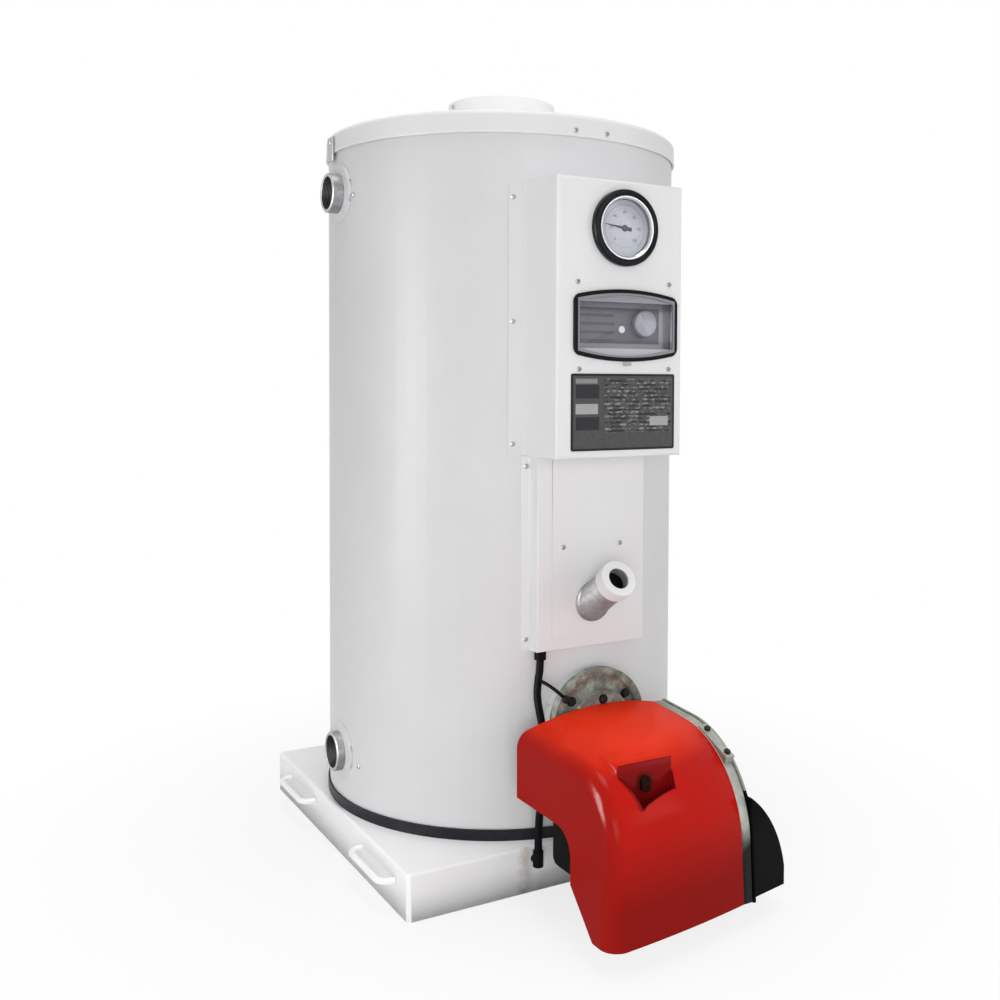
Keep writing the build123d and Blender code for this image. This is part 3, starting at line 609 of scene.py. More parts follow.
def patch(x, z, *rectangles):
    """1 inside any of some upright rectangles, in metres."""
    masks = [x.between(left, right) * z.between(low, top) for left, right, low, top in rectangles]
    return sum(masks[1:], masks[0])


def overprint(finish, paint, *prints):
    """Lays prints on a colour one after another, each a mask and its ink."""
    for mask, ink in prints:
        paint = finish.mix(mask, paint, ink)
    return paint


face_grey = Finish("face_grey", Roughness=0.4)
x, y, z = face_grey.axes()
grain = face_grey.noise(160, 4, 0.6)
shell = face_grey.mix(grain, (0.42, 0.41, 0.435), (0.34, 0.335, 0.36))
dark = face_grey.mix(grain, (0.12, 0.12, 0.13), (0.18, 0.18, 0.195))
paint = overprint(
    face_grey,
    face_grey.mix(patch(x, z, PANEL), shell, dark),
    (patch(x, z, SCALE) * ((z * SCALE_RULES).sine() > 0.55) * 0.55, (0.05, 0.05, 0.06)),
    (patch(x, z, COLUMN) * 0.85, (0.23, 0.23, 0.26)),
    (patch(x, z, LOW_STRIP) * 0.7, (0.44, 0.44, 0.48)),
)
face_grey.feed(Base_Color=paint, Normal=face_grey.bump(grain, 0.2, 0.0003))
print("panel", PANEL)

# %% [markdown]
# ## Data plate
#
# The plate is printed dark grey with a black border, and is divided into cells. It stays bare of
# words: a table of rows, two rules, and a few dark and light fields are all that is drawn. The
# rows come from a sine of the height, and noises stretched sideways cut them into dark bars and
# light dashes that spell nothing.

# %% Data plate print
PLATE_LEFT, PLATE_RIGHT, PLATE_BOTTOM, PLATE_TOP = -0.082, 0.090, 0.630, 0.736
BORDER = 0.0032
TABLE = (-0.028, 0.084, 0.655, 0.729)
RULES = ((-0.0300, -0.0292, 0.640, 0.731), (0.0130, 0.0138, 0.640, 0.731))
DARK_FIELDS = ((-0.075, -0.037, 0.702, 0.7205), (-0.075, -0.037, 0.6585, 0.6765))
LIGHT_FIELDS = ((-0.075, -0.039, 0.6805, 0.6945), (0.0475, 0.079, 0.6635, 0.6765))
HEADER = (-0.075, -0.040, 0.7225, 0.7290)
ROWS = 2 * math.pi / 0.0058

plate_grey = Finish("plate_grey", Specular_IOR_Level=0.2)
x, y, z = plate_grey.axes()
grain = plate_grey.noise(220, 4, 0.65)
cells = plate_grey.noise(1, 2, 0.6, (75, 1, 190))
strokes = plate_grey.noise(1, 2, 0.6, (160, 1, 260))
sheet = plate_grey.mix(grain, (0.045, 0.045, 0.047), (0.10, 0.10, 0.103))
inside = x.between(PLATE_LEFT + BORDER, PLATE_RIGHT - BORDER)
inside = inside * z.between(PLATE_BOTTOM + BORDER, PLATE_TOP - BORDER)
table = patch(x, z, TABLE)
waves = (z * ROWS).sine()
dark_marks = table * (waves > -0.1) * (cells > 0.5) + patch(x, z, *DARK_FIELDS)
light_fields = patch(x, z, *LIGHT_FIELDS) * 0.85 + patch(x, z, HEADER) * 0.5
paint = overprint(
    plate_grey,
    plate_grey.mix(inside, 0.012, sheet),
    (table * (waves < 0.0) * (strokes > 0.55) * 0.7, (0.32, 0.32, 0.33)),
    (dark_marks * 0.85, (0.016, 0.016, 0.019)),
    (patch(x, z, *RULES) * 0.6, 0.05),
    (light_fields, (0.42, 0.42, 0.43)),
)
plate_grey.feed(
    Base_Color=paint, Roughness=0.35 + grain * 0.2, Normal=plate_grey.bump(grain, 0.2, 0.0002)
)
print(len(finishes), "finishes")

# %% [markdown]
# ## Smooth skins for round pieces
#
# The CAD pieces come as loose flat triangles, so a round jacket would show its facets in a
# glossy finish. Welding the triangles' corners and shading across all but the sharp edges makes
# it read as one rolled sheet. A carried-over mesh isn't changed, so a welded copy stands in.

# %% Welded copies
SKIN_SHARP, HEAD_SHARP, BLOCK_SHARP = 32, 40, 50
WELD_GAP = 1e-6


def shaded(name, shape, sharp):
    """A bmesh as an object, smooth but for edges sharper than an angle in degrees."""
    mesh = bpy.data.meshes.new(name)
    shape.to_mesh(mesh)
    shape.free()
    mesh.shade_smooth()
    mesh.set_sharp_from_angle(angle=math.radians(sharp))
    return placed(name, mesh)


def welded(name):
    """A smooth-shaded copy of a CAD node, at the same place."""
    shell = bmesh.new()
    shell.from_mesh(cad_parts[name].data)
    bmesh.ops.remove_doubles(shell, verts=shell.verts, dist=WELD_GAP)
    skin = shaded(name + "_skin", shell, SKIN_SHARP)
    even = skin.modifiers.new("even shading", "WEIGHTED_NORMAL")
    even.keep_sharp = True
    even.mode = "FACE_AREA_WITH_ANGLE"
    return skin


# %% [markdown]
# ## Dress each node
#
# Each piece now gets its finish. Most finishes have the name of the record's slot, and a second
# table gives the slot of the others. Every skin stands for its CAD node and rides on the
# boiler's one body.

# %% Finishes by node
PIECES = {
    "white_enamel": "lid lower_panel burner_neck port_plate sight_ring",
    "collar_enamel": "flue_collar",
    "black_rubber": "foot_trim",
    "vessel_steel": "boiler_body",
    "socket_steel": "supply_socket return_socket",
    "gauge_black": "gauge_case",
    "bright_metal": "gauge_ring",
    "dial_blue": "gauge_dial",
    "needle_black": "gauge_needle",
    "clear_glass": "gauge_glass",
    "frame_black": "controller_frame",
    "face_grey": "controller_face",
    "knob_grey": "controller_knob",
    "lamp_pale": "controller_lamp",
    "smoked_cover": "controller_cover",
    "plate_grey": "data_plate",
    "flange_metal": "burner_flange blast_tube",
    "hood_red": "hood",
    "cast_aluminium": "fan_casing casing_lug",
    "intake_black": "fan_motor",
    "lead_black": "panel_gland base_gland",
    "base_enamel": "base_pan base_handle_front_left base_handle_back_left "
    "base_handle_front_right base_handle_back_right",
    "jacket_enamel": "jacket supply_escutcheon return_escutcheon",
    "cover_enamel": "control_box",
    "intake_edge": "air_intake",
    "port_metal": "sight_tube",
    "sight_pane": "sight_glass",
    "button_brown": "reset_button",
    "bolt_black": "earth_terminal",
}
SLOTS = {
    "lamp_pale": "lamp",
    "base_enamel": "white_enamel",
    "jacket_enamel": "white_enamel",
    "cover_enamel": "white_enamel",
    "intake_edge": "intake_black",
    "port_metal": "flange_metal",
    "sight_pane": "clear_glass",
    "button_brown": "intake_black",
    "bolt_black": "bright_metal",
}


def belong(piece, slot, *nodes, finish=None):
    """Finishes a piece and ties it to the body and the nodes it stands for. The slot is not used.
    """
    if finish:
        piece.data.materials.append(finishes[finish].material)
    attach(piece, "root")
    if nodes:
        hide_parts(*nodes)
    return piece


for finish, names in PIECES.items():
    for name in names.split():
        belong(welded(name), SLOTS.get(finish, finish), name, finish=finish)
    print(finish, "on", names)

# %% [markdown]
# ## Leads
#
# The burner's lead leaves a gland under the lower panel, bows forward past the flange and drops
# into an elbow on the base. A sheathed lead bends in one smooth line, never in corners, so it is
# a curve through a few control points, with a round section. Both of its ends go back into the
# object. The short earth lead branches off it to the flange's rim.

# %% Lead curves
LEAD_DIAMETER = 0.011
LEAD_ROUTE = (
    (-0.081, -0.278, 0.328),
    (-0.081, -0.278, 0.314),
    (-0.0855, -0.280, 0.298),
    (-0.090, -0.285, 0.279),
    (-0.0905, -0.293, 0.258),
    (-0.088, -0.2995, 0.234),
    (-0.088, -0.304, 0.1996),
    (-0.0925, -0.305, 0.148),
    (-0.096, -0.301, 0.0981),
    (-0.096, -0.301, 0.062),
)
EARTH_DIAMETER = 0.005
EARTH_ROUTE = (
    (-0.0829, -0.287, 0.298),
    (-0.080, -0.297, 0.296),
    (-0.074, -0.3065, 0.2905),
    (-0.0685, -0.3115, 0.285),
    (-0.0629, -0.3132, 0.2797),
)


def lay_lead(node, route, diameter):
    """A smooth round lead with the route's points as its control points."""
    curve = bpy.data.curves.new(node + "_curve", "CURVE")
    curve.dimensions = "3D"
    line = curve.splines.new("NURBS")
    line.points.add(len(route) - 1)
    for point, place in zip(line.points, route):
        point.co = (*place, 1)
    line.order_u = 3
    line.use_endpoint_u = True
    line.resolution_u = 10
    curve.bevel_depth = diameter / 2
    curve.bevel_resolution = 5
    curve.use_fill_caps = True
    piece = belong(placed(node + "_curve", curve), "lead_black", node, finish="lead_black")


lay_lead("burner_lead", LEAD_ROUTE, LEAD_DIAMETER)
lay_lead("earth_lead", EARTH_ROUTE, EARTH_DIAMETER)

# %% [markdown]
# ## Screw and bolt heads
#
# The covers are held by small pan-head screws with a cross recess, the burner by hexagon bolts
# on washers. One head of each kind is modelled at the origin, pointing up. Rings of points make
# its side, and the recess is a real cross-shaped pit, so it catches its own shadow.

# %% Heads
SCREW_RADIUS = 0.0036
SCREW_HEIGHT = 0.0019
CROSS_HALF_WIDTH = 0.0005
CROSS_REACH = 0.0019
CROSS_DEPTH = 0.0013
BOLT_RADIUS = 0.0078
BOLT_HEIGHT = 0.0062
WASHER_RADIUS = 0.0098
WASHER_HEIGHT = 0.0015
ROUND_SIDES = 24


def ring_of_points(mesh, radius, height, sides):
    angles = [2 * math.pi * step / sides for step in range(sides)]
    return [mesh.verts.new((radius * math.cos(a), radius * math.sin(a), height)) for a in angles]


def join_rings(mesh, low, high):
    for step in range(len(low)):
        after = (step + 1) % len(low)
        mesh.faces.new((low[step], low[after], high[after], high[step]))


def stack(mesh, rings, sides):
    """Rings joined one above the other, closed at the bottom. Returns the top ring."""
    loops = [ring_of_points(mesh, radius, height, sides) for radius, height in rings]
    for low, high in zip(loops, loops[1:]):
        join_rings(mesh, low, high)
    mesh.faces.new(list(reversed(loops[0])))
    return loops[-1]


def smooth_object(name, mesh):
    bmesh.ops.recalc_face_normals(mesh, faces=mesh.faces)
    return shaded(name, mesh, HEAD_SHARP)


def pan_head():
    head = bmesh.new()
    rings = [(1.0, 0), (1.0, 0.35), (0.9, 0.75), (0.66, 1)]
    top = stack(head, [(SCREW_RADIUS * r, SCREW_HEIGHT * h) for r, h in rings], ROUND_SIDES)
    w, reach = CROSS_HALF_WIDTH, CROSS_REACH
    arm = [(reach, -w), (reach, w), (w, w)]
    outline = []
    for quarter in range(4):
        turn = Matrix.Rotation(quarter * math.pi / 2, 2)
        outline += [turn @ Vector(corner) for corner in arm]
    rim = [head.verts.new((*corner, SCREW_HEIGHT)) for corner in outline]
    floor = [head.verts.new((*corner, SCREW_HEIGHT - CROSS_DEPTH)) for corner in outline]
    edges = []
    for loop in (top, rim):
        for step in range(len(loop)):
            pair = (loop[step], loop[(step + 1) % len(loop)])
            edges.append(head.edges.get(pair) or head.edges.new(pair))
    bmesh.ops.triangle_fill(head, use_beauty=True, use_dissolve=False, edges=edges)
    for face in [f for f in head.faces if all(v in rim for v in f.verts)]:
        head.faces.remove(face)
    join_rings(head, floor, rim)
    head.faces.new(floor)
    return smooth_object("pan_head", head)


def hex_head():
    head = bmesh.new()
    washer = [(WASHER_RADIUS, 0), (WASHER_RADIUS, WASHER_HEIGHT)]
    washer.append((BOLT_RADIUS * 0.7, WASHER_HEIGHT))
    head.faces.new(stack(head, washer, ROUND_SIDES))
    body = [(1, 0.0), (1, 0.86), (0.88, 1)]
    rings = [(BOLT_RADIUS * r, WASHER_HEIGHT + BOLT_HEIGHT * h) for r, h in body]
    head.faces.new(stack(head, rings, 6))
    return smooth_object("hex_head", head)


heads = {"pan": pan_head(), "hex": hex_head()}
print("faces:", {kind: len(head.data.polygons) for kind, head in heads.items()})

# %% [markdown]
# ## Setting heads out with Geometry Nodes
#
# Placing thirty heads by hand would need thirty turns worked out. Instead a cloud of points
# carries the direction each head leans in, and a tree of geometry nodes puts a copy of one head
# on each point and turns it to that direction. A seeded random turn about its own axis keeps the
# recesses from lining up. Both trees here start with named inputs and end with copies made real.

# %% Tools for both trees


def open_tree(name, inputs):
    """A new tree, its input node and its inputs' identifiers. Inputs are label: (kind, value)."""
    tree = bpy.data.node_groups.new(name, "GeometryNodeTree")
    inputs = {"Geometry": ("Geometry", None), **inputs, "Finish": ("Material", None)}
    names = {}
    for label, (kind, value) in inputs.items():
        kind = "NodeSocket" + kind
        socket = tree.interface.new_socket(label, in_out="INPUT", socket_type=kind)
        if value is not None:
            socket.default_value = value
        names[label] = socket.identifier
    tree.interface.new_socket("Geometry", in_out="OUTPUT", socket_type="NodeSocketGeometry")
    graph = Graph(tree)
    return graph, graph.node("NodeGroupInput"), names


def close_tree(graph, given, copies):
    real = graph.node("GeometryNodeRealizeInstances", None, {"Geometry": copies})
    sockets = {"Geometry": real, "Material": given.out("Finish")}
    finished = graph.node("GeometryNodeSetMaterial", None, sockets)
    graph.node("NodeGroupOutput", None, {0: finished})


def freeze(holder, name):
    """The evaluated shape of an object as a plain mesh object, and the holder is removed."""
    seen = holder.evaluated_get(bpy.context.evaluated_depsgraph_get())
    mesh = bpy.data.meshes.new_from_object(seen)
    mesh.name = name
    bpy.data.objects.remove(holder, do_unlink=True)
    return placed(name, mesh)


def run_tree(name, mesh, tree, names, values, slot):
    """What the tree makes of a mesh, as one finished piece."""
    holder = placed(name, mesh)
    setting = holder.modifiers.new("set out", "NODES")
    setting.node_group = tree
    for label, value in values.items():
        setting[names[label]] = value
    piece = belong(freeze(holder, name), slot)
    print(name, len(piece.data.polygons), "faces")


# %% The tree that sets out heads
HEAD_SEED = 7


def heads_tree():
    inputs = {"Head": ("Object", None), "Size": ("Float", 1.0), "Seed": ("Int", HEAD_SEED)}
    g, given, names = open_tree("set_out_heads", inputs)
    attribute = {"data_type": "FLOAT_VECTOR"}
    lean = g.node("GeometryNodeInputNamedAttribute", attribute, {"Name": "lean"})
    aim = g.node("FunctionNodeAlignRotationToVector", {"axis": "Z"}, {"Vector": lean})
    limits = {2: 0.0, 3: 2 * math.pi, "Seed": given.out("Seed")}
    spin = g.node("FunctionNodeRandomValue", {"data_type": "FLOAT"}, limits, out=1)
    own_turn = g.node("FunctionNodeAxisAngleToRotation", None, {"Axis": (0, 0, 1), "Angle": spin})
    local = {"rotation_space": "LOCAL"}
    turned = g.node("FunctionNodeRotateRotation", local, {0: aim, 1: own_turn})
    original = {"transform_space": "ORIGINAL"}
    head = g.node("GeometryNodeObjectInfo", original, {"Object": given.out("Head")})
    sockets = {"Points": given.out("Geometry"), "Instance": head.out("Geometry")}
    sockets.update({"Rotation": turned, "Scale": given.out("Size")})
    close_tree(g, given, g.node("GeometryNodeInstanceOnPoints", None, sockets))
    return g.tree, names


HEADS_TREE, HEADS_INPUTS = heads_tree()


def set_out(name, kind, size, finish, slot, places):
    """Heads of one kind at (point, lean) places, as one mesh piece."""
    cloud = bpy.data.meshes.new(name)
    cloud.from_pydata([point for point, lean in places], [], [])
    leans = cloud.attributes.new("lean", "FLOAT_VECTOR", "POINT")
    for value, (point, lean) in zip(leans.data, places):
        value.vector = lean
    values = {"Head": heads[kind], "Size": size, "Seed": HEAD_SEED + len(places)}
    values["Finish"] = finishes[finish].material
    run_tree(name, cloud, HEADS_TREE, HEADS_INPUTS, values, slot)


# %% [markdown]
# ## Where the screws and bolts go
#
# A screw stands on the surface it holds, so its place follows from that surface: the front of
# the control box is flat, while the flanges beside it lie on the round jacket, and a head there
# leans straight out from the jacket's axis. Black hexagon bolts clamp the burner's flange to the
# neck, one holds the blast tube's clamp on the boss, and two seat on the fan casing's lug.

# %% Screw places
FRONT = (0, -1, 0)
BOX_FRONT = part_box("control_box")[0][1]
PORT_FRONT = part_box("port_plate")[0][1]
JACKET_SKIN = 0.2801
FLANGE_SKIN = 0.2823
LID_SKIRT = 0.2838
CLIP_FACE = 0.2866
CLIP_Y = 0.022
SIDES = (-1, 1)
BOX_SCREWS = ((-0.0715, 0.861), (0.0803, 0.863), (-0.069, 0.742), (0.080, 0.743))
FLANGE_SCREWS = ((0.1155, (0.985, 0.81, 0.636)), (0.0975, (0.604, 0.356)))
PORT_SCREWS_X, PORT_SCREWS_Z = (-0.050, 0.0465), 0.488
LID_SCREWS_X, LID_SCREWS_Z = (-0.0279, 0.0246), 1.0838
SOCKET_SCREWS = ((-0.0492, 1.0022), (-0.0621, 0.141))
COLLAR_SCREW = (-0.0872, 0, 1.166)
CLIP_SCREWS_Z = 1.0905


def on_round(x, z, radius):
    """A place and lean on the front of a cylinder about the boiler's axis."""
    y = -math.sqrt(radius * radius - x * x)
    return (x, y, z), (x / radius, y / radius, 0)


def on_left(y, z, radius):
    x = -math.sqrt(radius * radius - y * y)
    return (x, y, z), (x / radius, y / radius, 0)


cover_screws = [((x, BOX_FRONT, z), FRONT) for x, z in BOX_SCREWS]
for reach, rows in FLANGE_SCREWS:
    cover_screws += [on_round(side * reach, z, FLANGE_SKIN) for side in SIDES for z in rows]
cover_screws += [((x, PORT_FRONT, PORT_SCREWS_Z), FRONT) for x in PORT_SCREWS_X]
cover_screws += [on_round(x, LID_SCREWS_Z, LID_SKIRT) for x in LID_SCREWS_X]
cover_screws += [on_left(y, z, JACKET_SKIN) for y, z in SOCKET_SCREWS]
cover_screws.append((COLLAR_SCREW, (-1, 0, 0)))
cover_screws += [((side * CLIP_FACE, CLIP_Y, CLIP_SCREWS_Z), (side, 0, 0)) for side in SIDES]
set_out("cover_screws", "pan", 1.0, "screw_steel", "bright_metal", cover_screws)

# %% Bolt places
FLANGE_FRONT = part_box("burner_flange")[0][1]
FLANGE_FLOOR = -0.3061
BOLT_ROWS = (0.2690, 0.2030)
BOLT_X = 0.0455
BOSS_BOLT_X = 0.001
FLANGE_BOLT_SIZE = 0.72
LUG_BOLT_SIZE = 0.6
LUG_SLOPE = math.radians(24)

flange_bolts = [((side * BOLT_X, FLANGE_FLOOR, z), FRONT) for side in SIDES for z in BOLT_ROWS]
flange_bolts.append(((BOSS_BOLT_X, FLANGE_FRONT, BOLT_ROWS[0]), FRONT))
set_out("flange_bolts", "hex", FLANGE_BOLT_SIZE, "bolt_black", "flange_metal", flange_bolts)
lug_lean = (0, -math.sin(LUG_SLOPE), math.cos(LUG_SLOPE))
lug_bolts = [((0.0985, -0.4334, 0.2405), lug_lean), ((0.0985, -0.4775, 0.2207), lug_lean)]
set_out("lug_bolts", "hex", LUG_BOLT_SIZE, "bolt_black", "cast_aluminium", lug_bolts)

# %% [markdown]
# ## Rings of bars
#
# The dial's scale, the grip of the controller's knob and its pointer are all thin bars set round
# a centre. One tree of geometry nodes makes them: it lays out points at even angles, puts a bar
# on each, and makes every so many of them longer. Its sizes are named inputs.

# %% The tree that sets bars in a ring
RING_DEFAULTS = {
    "Count": 61,
    "Start": -0.25 * math.pi,
    "Sweep": 1.5 * math.pi,
    "Outer radius": 0.034,
    "Bar length": 0.003,
    "Bar width": 0.0005,
    "Bar depth": 0.0001,
    "Long every": 10,
    "Long share": 0.7,
}


def ring_tree():
    inputs = {"Centre": ("Vector", None)}
    for label, value in RING_DEFAULTS.items():
        inputs[label] = ("Int" if isinstance(value, int) else "Float", value)
    g, given, names = open_tree("ring_of_bars", inputs)
    index = g.node("GeometryNodeInputIndex")
    gaps = g.sum("MAXIMUM", given.out("Count") - 1, 1.0)
    angle = given.out("Start") + given.out("Sweep") * index / gaps
    over = g.sum("MODULO", index, given.out("Long every"))
    stretch = (over < 0.5) * given.out("Long share") + 1
    middle = given.out("Outer radius") - given.out("Bar length") * stretch / 2
    flat = {"X": g.sum("COSINE", angle) * middle, "Z": g.sum("SINE", angle) * middle}
    offset = g.node("ShaderNodeCombineXYZ", None, flat)
    ends = {0: offset, 1: given.out("Centre")}
    place = g.node("ShaderNodeVectorMath", {"operation": "ADD"}, ends)
    spots = {"Count": given.out("Count"), "Position": place}
    sides = {"X": given.out("Bar length"), "Y": given.out("Bar depth"), "Z": given.out("Bar width")}
    size = g.node("ShaderNodeCombineXYZ", None, sides)
    sockets = {
        "Points": g.node("GeometryNodePoints", None, spots),
        "Instance": g.node("GeometryNodeMeshCube", None, {"Size": size}),
        "Rotation": g.node("ShaderNodeCombineXYZ", None, {"Y": 0 - angle}),
        "Scale": g.node("ShaderNodeCombineXYZ", None, {"X": stretch, "Y": 1.0, "Z": 1.0}),
    }
    close_tree(g, given, g.node("GeometryNodeInstanceOnPoints", None, sockets))
    return g.tree, names


RING_TREE, RING_INPUTS = ring_tree()


def ring_of_bars(name, centre, finish, sizes):
    """Bars round a centre. The finish has the name of its slot."""
    values = {"Centre": centre, "Finish": finishes[finish].material, **RING_DEFAULTS, **sizes}
    run_tree(name, bpy.data.meshes.new(name), RING_TREE, RING_INPUTS, values, finish)


# %% [markdown]
# ## Scale of the thermometer
#
# The scale is printed, so its ticks are bars a tenth of a millimetre thick lying on the dial.
# They run clockwise from the lower left to the lower right, with every tenth one longer. The
# plain numbers count in twenties. Text is a curve in Blender, so each one is made a mesh first,
# and then its place is worked into the mesh.

# %% Dial ticks
DIAL_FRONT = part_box("gauge_dial")[0][1]
INK_THICKNESS = 0.0001
dial_centre = (GAUGE_X, DIAL_FRONT - INK_THICKNESS / 2, GAUGE_Z)
ring_of_bars("dial_ticks", dial_centre, "needle_black", {})

# %% Dial numbers
NUMBER_SIZE = 0.0058
NUMBER_RADIUS = 0.0225
NUMBERS = ("0", "20", "40", "60", "80", "100", "120")
FIRST_NUMBER_AT = math.radians(225)
NUMBERS_SWEEP = math.radians(270)


def number_mesh(words, middle):
    text = bpy.data.curves.new("number_" + words, "FONT")
    text.body = words
    text.size = NUMBER_SIZE
    text.extrude = INK_THICKNESS / 2
    text.align_x = "CENTER"
    text.align_y = "CENTER"
    piece = freeze(placed("number_" + words, text), "number_" + words)
    piece.data.transform(Matrix.Translation(middle) @ Matrix.Rotation(math.pi / 2, 4, "X"))
    piece.data.materials.clear()
    return piece


for step, words in enumerate(NUMBERS):
    angle = FIRST_NUMBER_AT - step * NUMBERS_SWEEP / (len(NUMBERS) - 1)
    side = Vector((math.cos(angle), 0, math.sin(angle))) * NUMBER_RADIUS
    number = number_mesh(words, Vector(dial_centre) + side)
    belong(number, "needle_black", finish="needle_black")
print("numbers", NUMBERS)

# %% [markdown]
# ## Knob of the controller
#
# The knob behind the smoked cover has a ribbed grip and a dark pointer line. The ribs are bars
# as long as the knob is deep, set round its rim, and the pointer is one bar on its face.

# %% Knob ribs and pointer
RIBS = 36
knob_low, knob_high = (Vector(corner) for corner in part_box("controller_knob"))
knob_middle = (knob_low + knob_high) / 2
knob_radius = (knob_high.x - knob_low.x) / 2
rib_sizes = {
    "Count": RIBS,
    "Sweep": 2 * math.pi * (RIBS - 1) / RIBS,
    "Outer radius": knob_radius + 0.0005,
    "Bar length": 0.0012,
    "Bar width": 0.0015,
    "Bar depth": (knob_high.y - knob_low.y) * 0.86,
    "Long share": 0.0,
}
pointer_sizes = {
    "Count": 1,
    "Start": math.radians(118),
    "Outer radius": knob_radius * 0.92,
    "Bar length": knob_radius * 0.62,
    "Bar width": 0.0018,
    "Bar depth": 0.0004,
    "Long share": 0.0,
}
ring_of_bars("knob_ribs", tuple(knob_middle), "knob_grey", rib_sizes)
face_middle = (knob_middle.x, knob_low.y, knob_middle.z)
ring_of_bars("knob_pointer", face_middle, "frame_black", pointer_sizes)
for head in heads.values():
    bpy.data.objects.remove(head, do_unlink=True)

# %% [markdown]
# ## Cover tab, lid bead and clips
#
# A light tab marks where the smoked cover is pulled open. It is a rounded block, a box whose
# edges are bevelled, and so is the spring clip on each side of the lid, which a screw holds. The
# lid's skirt ends in a rolled bead that closes the gap to the jacket: one ring of points laid
# out several times about a small circle.

# %% Cover tab
FRAME_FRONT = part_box("controller_frame")[0][1]
TAB_LOW = (0.001, FRAME_FRONT - 0.0012, 0.7475)
TAB_HIGH = (0.013, FRAME_FRONT + 0.001, 0.7515)
TAB_ROUND = 0.0004


def rounded_block(name, low, high, round_off, finish, slot):
    block = bmesh.new()
    bmesh.ops.create_cube(block, size=1)
    size = Vector(high) - Vector(low)
    middle = (Vector(high) + Vector(low)) / 2
    for vert in block.verts:
        vert.co = Vector(a * b for a, b in zip(vert.co, size)) + middle
    bmesh.ops.bevel(
        block, geom=block.edges, offset=round_off, segments=2, profile=0.5, affect="EDGES"
    )
    piece = belong(shaded(name, block, BLOCK_SHARP), slot, finish=finish)
    print(name, len(piece.data.polygons), "faces")


rounded_block("cover_tab", TAB_LOW, TAB_HIGH, TAB_ROUND, "knob_grey", "knob_grey")

# %% Lid bead and clips
BEAD_STEPS = 180
BEAD_SIDES = 12
BEAD_RADIUS = 0.2825
BEAD_HALF = 0.0018
BEAD_HEIGHT = 1.0762
CLIP_THICKNESS = 0.0024
CLIP_HALF_WIDTH = 0.012
CLIP_BOTTOM, CLIP_TOP = 1.062, 1.099
CLIP_ROUND = 0.0006

bead = bmesh.new()
turns = [2 * math.pi * side / BEAD_SIDES for side in range(BEAD_SIDES)]
sections = [(BEAD_HALF * math.cos(a), BEAD_HALF * math.sin(a)) for a in turns]
loops = [
    ring_of_points(bead, BEAD_RADIUS + out, BEAD_HEIGHT + rise, BEAD_STEPS)
    for out, rise in sections
]
for low, high in zip(loops, loops[1:] + loops[:1]):
    join_rings(bead, low, high)
lid_bead = belong(smooth_object("lid_bead", bead), "white_enamel", finish="white_enamel")
print("lid_bead", len(lid_bead.data.polygons), "faces")
for side, label in zip(SIDES, ("left", "right")):
    near, far = sorted((side * CLIP_FACE, side * (CLIP_FACE - CLIP_THICKNESS)))
    low = (near, CLIP_Y - CLIP_HALF_WIDTH, CLIP_BOTTOM)
    high = (far, CLIP_Y + CLIP_HALF_WIDTH, CLIP_TOP)
    rounded_block("lid_clip_" + label, low, high, CLIP_ROUND, "screw_steel", "bright_metal")

# %% [markdown]
# ## World
#
# What lights the boiler and what the camera sees behind it are two things. Rays that the camera
# sends out, straight or through glass or off a gloss, meet plain white at strength 1. All other
# rays meet a dimmer studio, so that the enamel keeps its own tone.

# %% World
STUDIO_LEVEL = 0.52


def seen_rays(graph):
    """1 for rays that show the background itself."""
    path = graph.node("ShaderNodeLightPath")
    shown = graph.sum("MAXIMUM", path.out("Is Camera Ray"), path.out("Is Glossy Ray"))
    return graph.sum("MAXIMUM", shown, path.out("Is Transmission Ray"))


world = bpy.data.worlds.new("studio")
bpy.context.scene.world = world
world.use_nodes = True
world.node_tree.nodes.clear()
sky = Graph(world.node_tree)
dim = sky.node("ShaderNodeBackground", None, {"Color": shade(1.0), "Strength": STUDIO_LEVEL})
white = sky.node("ShaderNodeBackground", None, {"Color": shade(1.0), "Strength": 1.0})
mixed = sky.node("ShaderNodeMixShader", None, {0: seen_rays(sky), 1: dim, 2: white})
sky.node("ShaderNodeOutputWorld", None, {"Surface": mixed})
print("studio level", STUDIO_LEVEL)

# %% [markdown]
# ## Floor
#
# The floor takes the boiler's soft shadow close by, and fades to the same white as the world
# further out, so that no horizon shows. The fade is a ramp on the distance from the boiler's
# axis, and it only counts for rays that show the background.

# %% Floor
FLOOR_REACH = 30
FLOOR_GREY = 0.76
FADE_START = 0.32
FADE_LENGTH = 0.55
NEAR_WHITE = 0.76

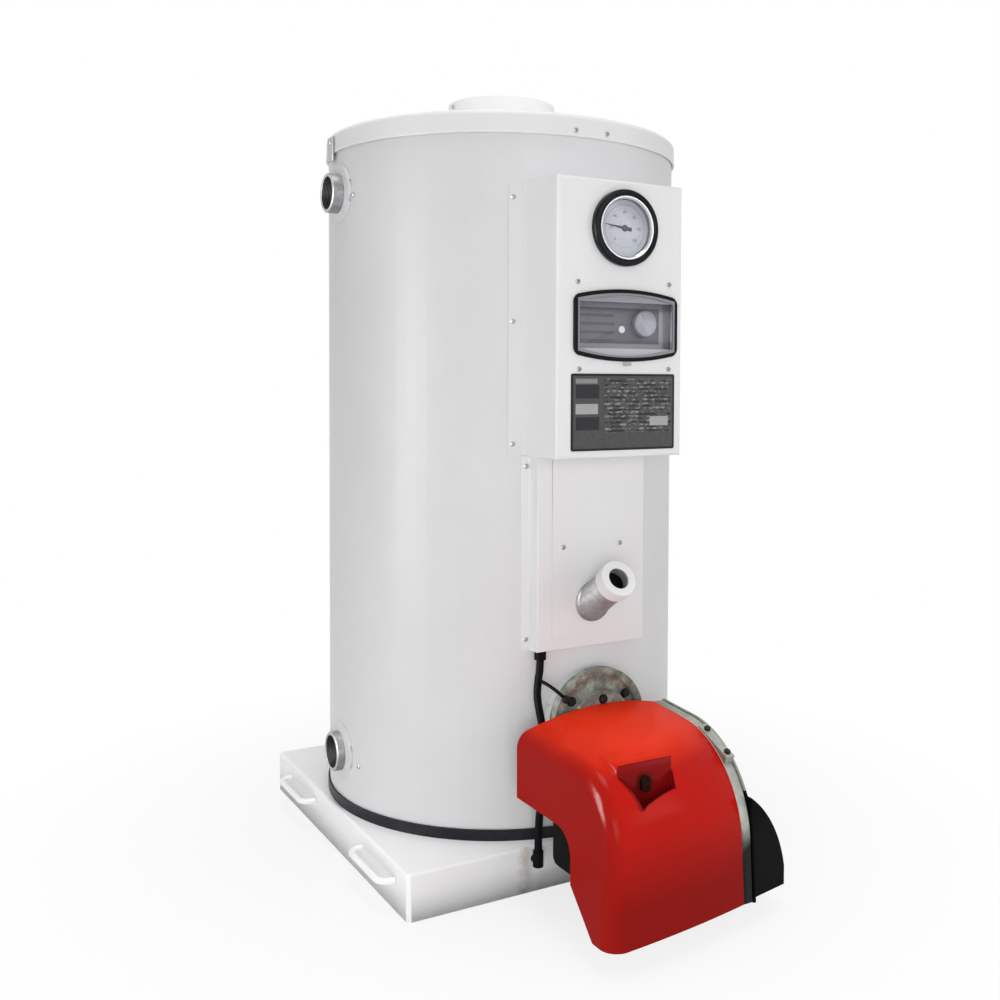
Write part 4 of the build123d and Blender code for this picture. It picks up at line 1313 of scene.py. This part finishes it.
floor_mesh = bpy.data.meshes.new("floor")
corners = [
    (FLOOR_REACH * a, FLOOR_REACH * b, 0) for a, b in ((-1, -1), (1, -1), (1, 1), (-1, 1))
]
floor_mesh.from_pydata(corners, [], [(0, 1, 2, 3)])
floor = placed("floor", floor_mesh)
floor_paint = Finish("floor_white", Base_Color=shade(FLOOR_GREY), Roughness=0.7)
x, y, z = floor_paint.axes()
away = ((x**2 + y**2) ** 0.5 - FADE_START) / FADE_LENGTH
fade = floor_paint.ramp(away, (0.0, NEAR_WHITE), (1.0, 1))
glow = floor_paint.node("ShaderNodeEmission", None, {"Color": shade(1.0), "Strength": 1.0})
dull = Wire(floor_paint, floor_paint.shader.outputs[0])
shaders = {0: seen_rays(floor_paint) * fade, 1: dull, 2: glow}
both = floor_paint.node("ShaderNodeMixShader", None, shaders)
output = floor_paint.tree.nodes["Material Output"]
floor_paint.tree.links.new(both.socket, output.inputs["Surface"])
floor_mesh.materials.append(floor_paint.material)

# %% [markdown]
# ## Lamps
#
# The key, a large soft box, stands well back in front on the camera's side, so that top and
# bottom get the same light. One lamp hangs overhead for the lid and the hood's roof, and a weak
# fill stands at the right. The strip at the left only shows in glossy things: it draws the
# highlight down the hood's rounded edge and adds no light to the enamel.

# %% Lamps


def soft_box(name, place, target, size, power, highlight_only=False):
    lamp = bpy.data.lights.new(name, "AREA")
    lamp.shape = "RECTANGLE"
    lamp.size, lamp.size_y = size
    lamp.energy = power
    holder = placed(name, lamp)
    aim = (Vector(target) - Vector(place)).to_track_quat("-Z", "Y").to_matrix().to_4x4()
    holder.matrix_world = Matrix.Translation(place) @ aim
    holder.visible_diffuse = not highlight_only
    print(name, power, "W")


soft_box("key", (-2.2, -4.3, 0.9), (0, 0, 0.5), (2.0, 2.0), 62)
soft_box("top", (-0.3, -0.4, 6.0), (0, 0, 0.2), (2.4, 2.4), 150)
soft_box("strip", (-1.75, -0.23, 0.63), (-0.14, -0.5, 0.2), (0.6, 1), 105, highlight_only=True)
soft_box("fill", (3.0, -3.5, 1.2), (0, 0, 0.5), (1.6, 1.6), 18)
bpy.context.scene.view_settings.view_transform = "Standard"
